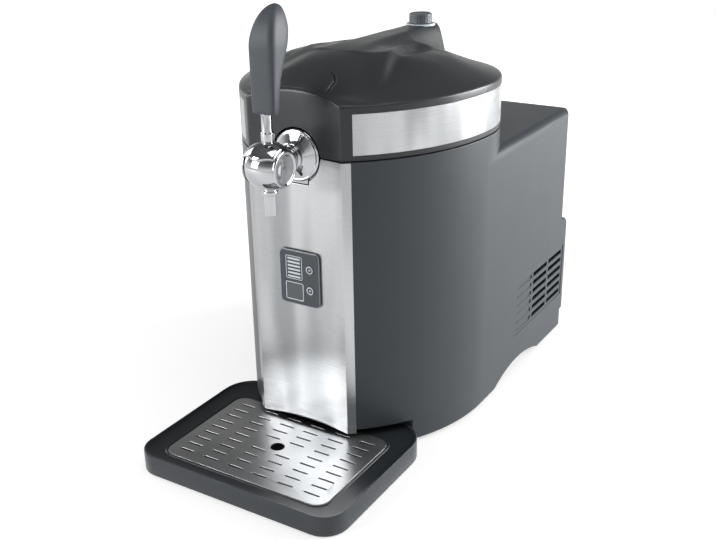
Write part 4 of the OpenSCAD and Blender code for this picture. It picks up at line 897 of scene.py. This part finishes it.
class KEG_OT_lid(Operator):
    """Builds the lid's shell with its rib, hump and scoops, the steel bands and the hinge arms"""
    bl_idname = "keg.lid"
    bl_label = "Lid"

    def execute(self, context):
        s = context.scene.keg_lid
        plan = Plan(s)
        made = piece("lid_moulding", self.shell(s, plan), "lid", "lid_satin", "lid_plastic",
                     ["lid_ring", "lid_dome"])
        cut(made, self.openings(s, plan))
        self.surround(plan)
        for _, word in reversed(SIDES):
            band = "lid_band_" + word
            node_piece("band_steel_" + word, band, "lid", "steel_brushed_round", "brushed_sheet", 0.0002)
        for side, word in SIDES:
            self.hinge_arm(plan, side, word)
        return {'FINISHED'}

    def shell(self, s, plan):
        """The closed shell: the inner wall, the foot, the side with the band's recess, and the top."""
        sunk, lip, step, soft_steps, steps = 0.00095, 0.00015, 0.00001, 5, 66
        inside = plan.outline(s.wall)
        rings = [level(inside, s.band_high - 0.0015), level(inside, s.foot + 0.0004),
                 level(plan.outline(s.wall - 0.0004), s.foot), level(plan.outline(0.0005), s.foot),
                 level(plan.outline(0), s.foot + 0.0006)]
        for z, deep in ((s.band_low - lip, 0), (s.band_low - lip + step, sunk),
                        (s.band_high + lip - step, sunk), (s.band_high + lip, 0)):
            rings.append(level(plan.outline(0, deep), z))
        r = s.rim_round
        for k in range(soft_steps + 1):
            t = math.pi / 2 * k / soft_steps
            ring = plan.outline(r * (1 - math.cos(t)))
            rings.append([place(p.x, p.y, plan.surface(p.x, p.y) - r + r * math.sin(t)) for p in ring])
        edge = plan.outline(r)
        hub = Vector((0, -0.010))
        for k in range(1, steps):
            pts = [hub + (p - hub) * (1 - k / steps) for p in edge]
            rings.append([place(p.x, p.y, plan.surface(p.x, p.y) - plan.scoop(p.x, p.y)) for p in pts])
        top = place(hub.x, hub.y, plan.surface(hub.x, hub.y))
        return lofted(rings, cap_start=True, pole=top)

    def openings(self, s, plan):
        """Cutters for the tap's flange, the release button, and the knob with its shaft."""
        up = Vector((0, 0, 1))
        flange = place(0, plan.face_y, 0.297)
        knob = place(0, 0.090, s.rim + s.rib_rise)
        round_, fore = release_outline(plan, -BUTTON_GAP)
        hole = level(round_ + fore, s.band_high - 0.0005)
        return [plug(0.026, -0.020, 0.025, flange, (0, 1, 0), 96),
                lofted([hole, [p + up * 0.04 for p in hole]], cap_start=True, cap_end=True),
                plug(0.0158, 0, 0.03, knob - up * 0.0015, up, 64),
                plug(0.0063, -0.03, 0.03, knob, up, 32)]

    def surround(self, plan):
        """A bead on the lid round the release button's opening, open in front."""
        start, width, rise, bury, steps = plan.mid_face + 0.008, 0.0028, 0.0011, 0.0004, 6
        near, far = (release_outline(plan, d)[0] for d in (-BUTTON_GAP, -BUTTON_GAP - width))
        pairs = [(a, b) for a, b in zip(near, far) if a.y > start]
        rows = []
        for k in range(steps + 1):
            t = k / steps
            lift = rise * math.sin(math.pi * t) - bury
            pts = [a + (b - a) * t for a, b in pairs]
            rows.append([place(p.x, p.y, plan.surface(p.x, p.y) + lift) for p in pts])
        piece("release_surround", lofted(rows, closed=False), "lid", "lid_satin", "lid_plastic")

    def hinge_arm(self, plan, side, word):
        """One curved arm from the lid's rear edge to the pin."""
        y, z, r = 0.118, 0.289, 0.0055
        x0, x1, top = 0.030 * side, 0.040 * side, 0.3163
        rim, out = plan.back - 0.0022, plan.back + 0.0008
        profile = [(rim, top), (rim, 0.3010), (out, 0.2990), (out, z)]
        turns = [math.radians(degrees) for degrees in range(188, 361, 16)]
        profile += [(y + r * math.cos(t), z + r * math.sin(t)) for t in turns]
        profile += [(y + r, 0.3105), (y + r - 0.0020, 0.3150), (y + r - 0.005, top)]
        bm = lofted([[place(x, a, b) for a, b in profile] for x in (x0, x1)], cap_start=True, cap_end=True)
        piece("hinge_arm_" + word, bm, "lid", "casing_satin", "casing_plastic", bevel=0.0005)


class KEG_OT_release(Operator):
    """Builds the ribbed lid release button"""
    bl_idname = "keg.release"
    bl_label = "Release button"

    def execute(self, context):
        plan = Plan(context.scene.keg_lid)
        soft, soft_steps, steps = 0.0012, 4, 34

        def loop(d):
            round_, fore = release_outline(plan, d)
            return round_ + fore

        outer = loop(0)
        foot = min(plan.surface(p.x, p.y) for p in outer) - 0.004
        rings = [level(outer, foot)]
        for k in range(soft_steps + 1):
            t = math.pi / 2 * k / soft_steps
            pts = loop(soft * (1 - math.cos(t)))
            rings.append([place(p.x, p.y, self.top(plan, p) - soft + soft * math.sin(t)) for p in pts])
        edge = loop(soft)
        hub = Vector((0, plan.face_y + 0.018))
        for k in range(1, steps):
            pts = [hub + (p - hub) * (1 - k / steps) for p in edge]
            rings.append([place(p.x, p.y, self.top(plan, p)) for p in pts])
        bm = lofted(rings, cap_start=True, pole=place(hub.x, hub.y, self.top(plan, hub)))
        piece("release_button_cap", bm, "release", "lid_satin", "lid_plastic", ["lid_release_button"])
        self.stem(foot + 0.001)
        return {'FINISHED'}

    def top(self, plan, p):
        """Height of the button over a point: a lip in front, and cross ribs inside a plain border."""
        rise, lip_drop, rib_depth, pitch = 0.0010, 0.0016, 0.00022, 0.0022
        lip_end, rear_end, side_end, fade = 0.005, 0.1225, 0.0265, 0.003
        along = p.y - plan.mid_face - BUTTON_START
        lip = 1 - ease(along / lip_end)
        inner = ease((along - lip_end) / fade) * (1 - ease((p.y + rear_end) / fade))
        inner *= ease((side_end - abs(p.x)) / fade)
        rib = 0.5 - 0.5 * math.cos(2 * math.pi * along / pitch)
        return plan.surface(p.x, p.y) + rise - lip_drop * lip - inner * rib_depth * rib

    def stem(self, top):
        """The stem under the button, with the flange that the spring presses on."""
        low, high = corners("release_spring")
        mid = (low + high) / 2
        r, foot, flange, flange_low, flange_high = 0.004, 0.3406, 0.0068, 0.3493, 0.3513
        stem = [(0, foot, 0), (r, foot, 0.0005), (r, flange_low, 0), (flange, flange_low, 0.0003),
                (flange, flange_high, 0.0003), (r, flange_high, 0), (r, top, 0), (0, top, 0)]
        bm = turned(stem, (mid.x, mid.y, 0), (0, 0, 1), 32)
        piece("release_stem", bm, "release", "lid_satin", "lid_plastic")


class KEG_OT_knob(Operator):
    """Builds the fluted pressure knob and its collar"""
    bl_idname = "keg.knob"
    bl_label = "Pressure knob"

    def execute(self, context):
        low, high = corners("pressure_knob")
        axis = (low + high) / 2
        axis.z = 0
        up = (0, 0, 1)
        r, height, flute = 0.012, 0.010, 0.00035
        top = high.z
        base = top - height
        levels = [(0.0030, base, 0), (r - 0.0005, base, 0), (r, base + 0.0005, 0), (r, base + 0.0012, 0),
                  (r, base + 0.0017, flute), (r, top - 0.0022, flute), (r - 0.0001, top - 0.0014, 0),
                  (r - 0.0005, top - 0.0005, 0), (r - 0.0014, top, 0), (r - 0.0028, top, 0),
                  (r - 0.0036, top - 0.0004, 0), (0.004, top - 0.0006, 0)]
        rings = [self.fluted(axis, *values) for values in levels]
        bm = lofted(rings, cap_start=True, pole=Vector((axis.x, axis.y, top - 0.0006)))
        piece("knob_cap", bm, "knob", "knob_satin", "knob_plastic", ["pressure_knob"])
        pin, foot, end = 0.003, base - 0.018, base + 0.001
        shaft = [(0, foot, 0), (pin, foot, 0.0003), (pin, end, 0), (0, end, 0)]
        piece("knob_shaft", turned(shaft, axis, up, 24), "knob", "steel_wire", "knob_plastic")
        low, high = corners("knob_collar")
        bore, wide, dish = 0.0031, 0.0155, high.z - 0.0005
        ring = [(bore, low.z, 0), (wide, low.z, 0.0002), (wide, high.z, 0.0009), (0.0131, high.z, 0.0003),
                (0.0126, dish, 0.0003), (bore, dish, 0)]
        piece("knob_collar_ring", turned(ring, axis, up, 72, ring=True), "lid", "mark_light", "light_mark",
              ["knob_collar"])
        return {'FINISHED'}

    def fluted(self, axis, r, z, depth, flutes=24, count=192):
        """A circle at height z with narrow grooves of a depth."""
        pts = []
        for i in range(count):
            a = 2 * math.pi * i / count
            wave = 0.5 - 0.5 * math.cos(flutes * a)
            out = r - depth * (1 - wave) ** 2
            pts.append(Vector((axis.x + out * math.cos(a), axis.y + out * math.sin(a), z)))
        return pts


class KEG_OT_tap(Operator):
    """Builds the chrome tap: flange, neck, barrel, saddle, end caps, stem and spout"""
    bl_idname = "keg.tap"
    bl_label = "Tap"

    def execute(self, context):
        s = context.scene.keg_tap
        self.flange(s, Plan(context.scene.keg_lid))
        self.barrel(s)
        for side, word in SIDES:
            self.cap(s, side, word)
        self.saddle(s)
        self.stem(s)
        self.spout(s)
        return {'FINISHED'}

    def chrome(self, name, bm, body, nodes=(), smooth=CREASE):
        """Makes a chromed piece."""
        return piece(name, bm, body, "chrome_bright", "bright_chrome", nodes, smooth=smooth)

    def belly(self, s, x):
        """Radius of the barrel at x, an arc from one end over the middle to the other."""
        rise = s.barrel_radius - s.end_radius
        arc = (s.barrel_half ** 2 + rise ** 2) / (2 * rise)
        return s.barrel_radius - arc + math.sqrt(arc ** 2 - x * x)

    def flange(self, s, plan):
        """The domed flange on the lid's face, and the rings of the neck."""
        axis, forward = place(0, 0, s.height), (0, -1, 0)
        y = -plan.mid_face - 0.0016
        r, bore, hub = s.flange_radius, 0.0092, 0.0115
        flange = [(bore, y, 0), (r - 0.0004, y, 0.0003), (r, y + 0.0015, 0.0012),
                  (r - 0.0016, y + 0.0031, 0.0010), (r - 0.0030, y + 0.0026, 0.0006),
                  (0.0185, y + 0.0040, 0.0030), (0.0135, y + 0.0068, 0.0020),
                  (hub, y + 0.0088, 0.0008), (bore, y + 0.0089, 0)]
        bm = turned(flange, axis, forward, 96, ring=True)
        self.chrome("tap_flange_chrome", bm, "casing", ["tap_flange"])
        bore, wide = 0.0091, 0.0116
        neck = [(bore, y + 0.0090, 0), (wide, y + 0.0090, 0.0004), (0.0122, y + 0.0106, 0.0010),
                (wide, y + 0.0124, 0.0006), (0.0102, y + 0.0132, 0.0008), (0.0100, y + 0.0170, 0.001),
                (0.0112, y + 0.0190, 0.001), (bore, y + 0.0196, 0)]
        self.chrome("tap_neck_rings", turned(neck, axis, forward, 64, ring=True), "casing")

    def barrel(self, s):
        """The barrel that lies across, with a bore for the lever's pin."""
        h, end, bore, steps = s.barrel_half, s.end_radius - 0.0004, 0.0031, 20
        xs = [h * (-1 + 2 * k / steps) for k in range(1, steps)]
        barrel = [(bore, -h, 0), (end, -h, 0.0003)] + [(self.belly(s, x), x, 0) for x in xs]
        barrel += [(end, h, 0.0003), (bore, h, 0)]
        bm = turned(barrel, place(0, -s.depth, s.height), (1, 0, 0), s.steps, ring=True)
        self.chrome("tap_barrel_chrome", bm, "casing", ["tap_barrel"])

    def cap(self, s, side, word):
        """A dished cap at one end of the barrel, which turns with the lever."""
        r = s.end_radius
        a = s.barrel_half + 0.0003
        b = a + 0.0022
        cap = [(0, a, 0), (r + 0.0007, a, 0.0003), (r + 0.0010, a + 0.0009, 0.0006), (r + 0.0002, b, 0.0008),
               (r - 0.0018, b - 0.0001, 0.0006), (r - 0.0028, b - 0.0009, 0.0006),
               (0.0066, b - 0.0006, 0.002), (0, b - 0.0004, 0)]
        bm = turned(cap, place(0, -s.depth, s.height), (side, 0, 0), s.steps)
        self.chrome("tap_cap_" + word, bm, "lever")

    def saddle(self, s):
        """The sheet over the barrel that carries the stem, with a waved edge."""
        grow, thick, sheet, wide = 0.0003, 0.0019, 0.0010, s.barrel_half + 0.0003
        columns, steps, wave = 24, 30, 0.0022
        centre = place(0, -s.depth, s.height)
        reach = math.acos(0.012 / (s.barrel_radius + grow + thick))
        rows = []
        for k in range(columns + 1):
            x = -wide + 2 * wide * k / columns
            bend = 1 + wave * math.cos(math.pi * x / wide) / 0.0227
            thin = 0.72 + 0.28 * min(1.0, (wide - abs(x)) / 0.0012)
            radius = self.belly(s, min(max(x, -s.barrel_half), s.barrel_half)) + grow
            row = []
            for j in range(steps + 1):
                t = (-reach + 2 * reach * j / steps) * bend
                edge = min(1.0, (steps / 2 - abs(j - steps / 2)) / 1.5)
                out = radius + thick * (0.55 + 0.45 * math.sin(math.pi / 2 * edge)) * thin
                row.append(centre + Vector((x, -out * math.sin(t), out * math.cos(t))))
            rows.append(row)
        saddle = self.chrome("tap_saddle", lofted(rows, closed=False), "lever", ["lever_saddle"], smooth=50)
        wall = saddle.modifiers.new("Wall", 'SOLIDIFY')
        wall.thickness = sheet
        wall.offset = -1

    def stem(self, s):
        """The lever's stem with its collar, up into the handle."""
        foot = s.height + s.barrel_radius + 0.0006
        r, collar, pin, shoulder, top = 0.0047, 0.0057, 0.0035, 0.3438, 0.3580
        stem = [(0, foot, 0), (r, foot, 0.0003), (r, foot + 0.0014, 0), (collar, foot + 0.0021, 0.0006),
                (collar, foot + 0.0094, 0.0008), (r, foot + 0.0102, 0.0004), (r, shoulder, 0.0002),
                (pin, shoulder + 0.0002, 0), (pin, top, 0.0003), (0, top, 0)]
        bm = turned(stem, place(0, -s.depth, 0), (0, 0, 1), 48)
        self.chrome("lever_stem_chrome", bm, "lever", ["lever_stem"])

    def spout(self, s):
        """The spout with its ring under the barrel."""
        under = s.height - s.barrel_radius
        bore, r, ring, foot = 0.0044, 0.0058, 0.0074, 0.253
        spout = [(bore, foot, 0.0002), (r - 0.0002, foot, 0.0004), (r, foot + 0.0015, 0),
                 (r, under - 0.0047, 0.0004), (ring, under - 0.0042, 0.0006), (ring, under - 0.0010, 0.0006),
                 (r + 0.0002, under - 0.0004, 0.0002), (r, under + 0.0079, 0), (bore, under + 0.0080, 0)]
        bm = turned(spout, place(0, -s.depth, 0), (0, 0, 1), 56, ring=True)
        self.chrome("tap_spout_chrome", bm, "casing", ["tap_spout"])


class KEG_OT_handle(Operator):
    """Builds the tap's paddle handle"""
    bl_idname = "keg.handle"
    bl_label = "Handle"

    def execute(self, context):
        low, high = corners("tap_handle")
        crown, foot = 0.62, 0.02
        heights = [0.0, 0.008, foot] + [foot + (crown - foot) * k / 16 for k in range(1, 17)]
        heights += [crown + (1 - crown) * math.sin(math.pi / 2 * k / 14) for k in range(1, 14)]
        rings = [self.section(low, high, h, crown, foot) for h in heights]
        pole = sum(rings[-1], Vector()) / len(rings[-1])
        pole.z = high.z
        bm = lofted(rings, cap_start=True, pole=pole)
        made = piece("handle_moulding", bm, "lever", "handle_satin", "handle_plastic", ["tap_handle"],
                     smooth=60)
        stem_low, stem_high = corners("lever_stem")
        axis = (stem_low + stem_high) / 2
        axis.z = 0
        cut(made, [plug(0.0037, low.z - 0.002, low.z + 0.0145, axis, (0, 0, 1), 32)], smooth=60)
        return {'FINISHED'}

    def section(self, low, high, h, crown, foot, count=64):
        """Outline at a share h of the height, flatter in front than behind and drawn in over the crown."""
        width = [(0, 0.0238), (0.3, 0.0256), (0.62, 0.0278), (0.76, 0.0280), (1, 0.0280)]
        thick = [(0, 0.0115), (0.15, 0.0126), (0.3, 0.0150), (0.46, 0.0205), (0.62, 0.0280), (0.78, 0.0330),
                 (1, 0.0345)]
        shrink = 1.0
        if h > crown:
            shrink = math.sqrt(max(0.0, 1 - ((h - crown) / (1 - crown)) ** 1.7))
        if h < foot:
            shrink *= 1 - 0.05 * (1 - h / foot) ** 2
        w, t = table(width, h) * shrink, table(thick, h)
        back = min(t * shrink ** 0.15, high.y - low.y)
        lead = (1 - shrink) * t * 0.80
        z = low.z + (high.z - low.z) * h
        ring = []
        for i in range(count):
            a = 2 * math.pi * i / count
            c, s = math.cos(a), math.sin(a)
            power = 2 / (5.0 if s < 0 else 3.0)
            x = math.copysign(abs(c) ** power, c) * w / 2
            y = math.copysign(abs(s) ** power, s)
            ring.append(Vector((x, low.y + (lead + back) / 2 + y * (back - lead) / 2, z)))
        return ring


class KEG_OT_inside(Operator):
    """Gives the parts inside and the small metal parts their finishes"""
    bl_idname = "keg.inside"
    bl_label = "Inner parts"

    def execute(self, context):
        finishes = {
            "liner_matt": ["lid_liner", "cartridge_cradle", "fan_frame", "fan_rotor"],
            "rubber_matt": ["lid_seal"],
            "alloy_cast": ["tap_bracket", "regulator_body", "keg_well", "cold_block", "heat_sink",
                           "gas_nipple", "lid_latch"],
            "chrome_bright": ["tap_shank", "lever_pin"],
            "steel_wire": ["release_spring", "lid_hinge_pin", "rear_screws", "sink_screws", "latch_keeper",
                           "shank_nut", "beer_nipple", "tap_plunger"],
            "foam_cells": ["well_insulation"],
            "board_green": ["control_board", "power_board"],
            "cartridge_red": ["gas_cartridge"],
            "ceramic_white": ["cooling_cell"],
        }
        for finish, nodes in finishes.items():
            for node in nodes:
                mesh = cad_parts[node].data
                mesh.materials.clear()
                mesh.materials.append(bpy.data.materials[finish])
        return {'FINISHED'}


# ---------------------------------------------------------------- stage

def mirrored_rays(tree, path):
    """1 for the rays of mirrors and of clear pieces, else 0."""
    either = add(tree, 'ShaderNodeMath', _operation='MAXIMUM')
    tree.links.new(path.outputs['Is Glossy Ray'], either.inputs[0])
    tree.links.new(path.outputs['Is Transmission Ray'], either.inputs[1])
    return either.outputs[0]


class KEG_OT_stage(Operator):
    """Makes the camera, the floor, the lamps and the world"""
    bl_idname = "keg.stage"
    bl_label = "Stage"

    def execute(self, context):
        self.camera(context)
        self.floor()
        self.lamps()
        self.world(context)
        context.scene.view_settings.view_transform = 'Standard'
        return {'FINISHED'}

    def camera(self, context):
        """The camera at the photograph's angle."""
        azimuth, elevation, roll = (math.radians(v) for v in (31.977, 22.362, -1.069))
        eye = Vector((0.50856, -0.83946, 0.54381))
        back = Vector((math.sin(azimuth) * math.cos(elevation), -math.cos(azimuth) * math.cos(elevation),
                       math.sin(elevation)))
        across = (-back).cross(Vector((0, 0, 1))).normalized()
        above = across.cross(-back)
        right = across * math.cos(roll) + above * math.sin(roll)
        up = above * math.cos(roll) - across * math.sin(roll)
        data = bpy.data.cameras.new("Camera")
        data.lens = 50.40
        data.sensor_width = 36.0
        data.sensor_fit = 'HORIZONTAL'
        camera = bpy.data.objects.new("Camera", data)
        camera.matrix_world = Matrix.Translation(eye) @ Matrix((right, up, back)).transposed().to_4x4()
        context.scene.collection.objects.link(camera)
        context.scene.camera = camera

    def floor(self):
        """A pale floor that the camera and the mirrors see lit, and that keeps the shadow."""
        half_size, near, far, lit_near, lit_far, mirrored_light, grey = 2.6, 0.45, 1.5, 0.52, 0.95, 0.34, 0.62
        bm = bmesh.new()
        bmesh.ops.create_grid(bm, x_segments=8, y_segments=8, size=half_size)
        mesh = bpy.data.meshes.new("floor")
        bm.to_mesh(mesh)
        bm.free()
        floor = bpy.data.objects.new("floor", mesh)
        bpy.context.scene.collection.objects.link(floor)
        made = bpy.data.materials.new("floor_pale")
        made.use_nodes = True
        tree = made.node_tree
        tree.nodes.clear()
        link = tree.links.new
        path = add(tree, 'ShaderNodeLightPath')
        where = add(tree, 'ShaderNodeTexCoord')
        distance = add(tree, 'ShaderNodeVectorMath', _operation='LENGTH')
        link(where.outputs['Object'], distance.inputs[0])
        grow = add(tree, 'ShaderNodeMapRange', From_Min=near, From_Max=far, To_Min=lit_near, To_Max=lit_far)
        link(distance.outputs['Value'], grow.inputs['Value'])
        mirror = mirrored_rays(tree, path)
        power = add(tree, 'ShaderNodeMix', _data_type='FLOAT')
        power.inputs['B'].default_value = mirrored_light
        link(mirror, power.inputs['Factor'])
        link(grow.outputs['Result'], power.inputs['A'])
        seen = add(tree, 'ShaderNodeMath', _operation='MAXIMUM')
        link(path.outputs['Is Camera Ray'], seen.inputs[0])
        link(mirror, seen.inputs[1])
        strength = add(tree, 'ShaderNodeMath', _operation='MULTIPLY')
        link(seen.outputs[0], strength.inputs[0])
        link(power.outputs['Result'], strength.inputs[1])
        matt = add(tree, 'ShaderNodeBsdfDiffuse', Color=(grey, grey, grey, 1))
        glow = add(tree, 'ShaderNodeEmission', Color=(1, 1, 1, 1))
        link(strength.outputs[0], glow.inputs['Strength'])
        both = add(tree, 'ShaderNodeAddShader')
        link(matt.outputs[0], both.inputs[0])
        link(glow.outputs[0], both.inputs[1])
        out = add(tree, 'ShaderNodeOutputMaterial')
        link(both.outputs[0], out.inputs['Surface'])
        mesh.materials.append(made)

    def lamps(self):
        """Four soft lamps, each with its place, aim, size and power."""
        for name, spot, aim, size, power in (
                ("key_left", (-1.3, -1.7, 1.0), (0, -0.05, 0.2), (1.0, 1.4), 38.0),
                ("side_right", (1.8, 1.5, 0.7), (0.05, 0.08, 0.2), (1.4, 1.4), 92.0),
                ("top_soft", (0.5, -0.2, 2.1), (0, 0, 0.2), (1.2, 1.0), 7.0),
                ("side_left", (-2.1, 0.1, 0.9), (0, 0, 0.2), (1.0, 1.2), 9.0)):
            data = bpy.data.lights.new(name, 'AREA')
            data.shape = 'RECTANGLE'
            data.size, data.size_y = size
            data.energy = power
            lamp = bpy.data.objects.new(name, data)
            lamp.location = spot
            lamp.rotation_euler = (Vector(aim) - Vector(spot)).to_track_quat('-Z', 'Y').to_euler()
            bpy.context.scene.collection.objects.link(lamp)

    def world(self, context):
        """White to the camera, pale below and darker above to the mirrors, an even room to the rest."""
        world = bpy.data.worlds.new("pale_room")
        context.scene.world = world
        world.use_nodes = True
        tree = world.node_tree
        tree.nodes.clear()
        link = tree.links.new
        path = add(tree, 'ShaderNodeLightPath')
        where = add(tree, 'ShaderNodeTexCoord')
        split = add(tree, 'ShaderNodeSeparateXYZ')
        link(where.outputs['Generated'], split.inputs[0])
        ramp = add(tree, 'ShaderNodeValToRGB')
        elements = ramp.color_ramp.elements
        stops = [(0.0, 0.90), (0.10, 0.72), (0.30, 0.24), (0.60, 0.10), (1.0, 0.16)]
        for height, _ in stops[1:-1]:
            elements.new(height)
        for element, (height, light) in zip(elements, stops):
            element.position = height
            element.color = (light, light, light * 0.99, 1)
        link(split.outputs['Z'], ramp.inputs['Fac'])
        room = add(tree, 'ShaderNodeBackground', Color=(1, 1, 1, 1), Strength=0.27)
        mirrored = add(tree, 'ShaderNodeBackground', Strength=1.0)
        link(ramp.outputs['Color'], mirrored.inputs['Color'])
        white = add(tree, 'ShaderNodeBackground', Color=(1, 1, 1, 1), Strength=1.0)
        first = add(tree, 'ShaderNodeMixShader')
        link(mirrored_rays(tree, path), first.inputs[0])
        link(room.outputs[0], first.inputs[1])
        link(mirrored.outputs[0], first.inputs[2])
        last = add(tree, 'ShaderNodeMixShader')
        link(path.outputs['Is Camera Ray'], last.inputs[0])
        link(first.outputs[0], last.inputs[1])
        link(white.outputs[0], last.inputs[2])
        out = add(tree, 'ShaderNodeOutputWorld')
        link(last.outputs[0], out.inputs['Surface'])


# ---------------------------------------------------------------- add-on

STEPS = (KEG_OT_finishes, KEG_OT_casing, KEG_OT_front, KEG_OT_tray, KEG_OT_lid, KEG_OT_release, KEG_OT_knob,
         KEG_OT_tap, KEG_OT_handle, KEG_OT_inside, KEG_OT_stage)
SETTINGS = (("keg_lid", KegLidSettings), ("keg_tap", KegTapSettings), ("keg_tray", KegTraySettings),
            ("keg_colours", KegColours))


class KEG_PT_panel(Panel):
    """Lists the settings and the building steps"""
    bl_idname = "KEG_PT_panel"
    bl_label = "Keg dispenser"
    bl_space_type = 'VIEW_3D'
    bl_region_type = 'UI'
    bl_category = "Keg dispenser"

    def draw(self, context):
        for step in STEPS:
            self.layout.operator(step.bl_idname)
        for name, _ in SETTINGS:
            group = getattr(context.scene, name)
            for key in group.__annotations__:
                self.layout.prop(group, key)


def register():
    for _, group in SETTINGS:
        bpy.utils.register_class(group)
    for name, group in SETTINGS:
        setattr(bpy.types.Scene, name, PointerProperty(type=group))
    for step in STEPS:
        bpy.utils.register_class(step)
    bpy.utils.register_class(KEG_PT_panel)


def unregister():
    bpy.utils.unregister_class(KEG_PT_panel)
    for step in reversed(STEPS):
        bpy.utils.unregister_class(step)
    for name, group in reversed(SETTINGS):
        delattr(bpy.types.Scene, name)
        bpy.utils.unregister_class(group)


def main():
    register()
    for step in STEPS:
        area, name = step.bl_idname.split(".")
        getattr(getattr(bpy.ops, area), name)()


if __name__ == "__main__":
    main()
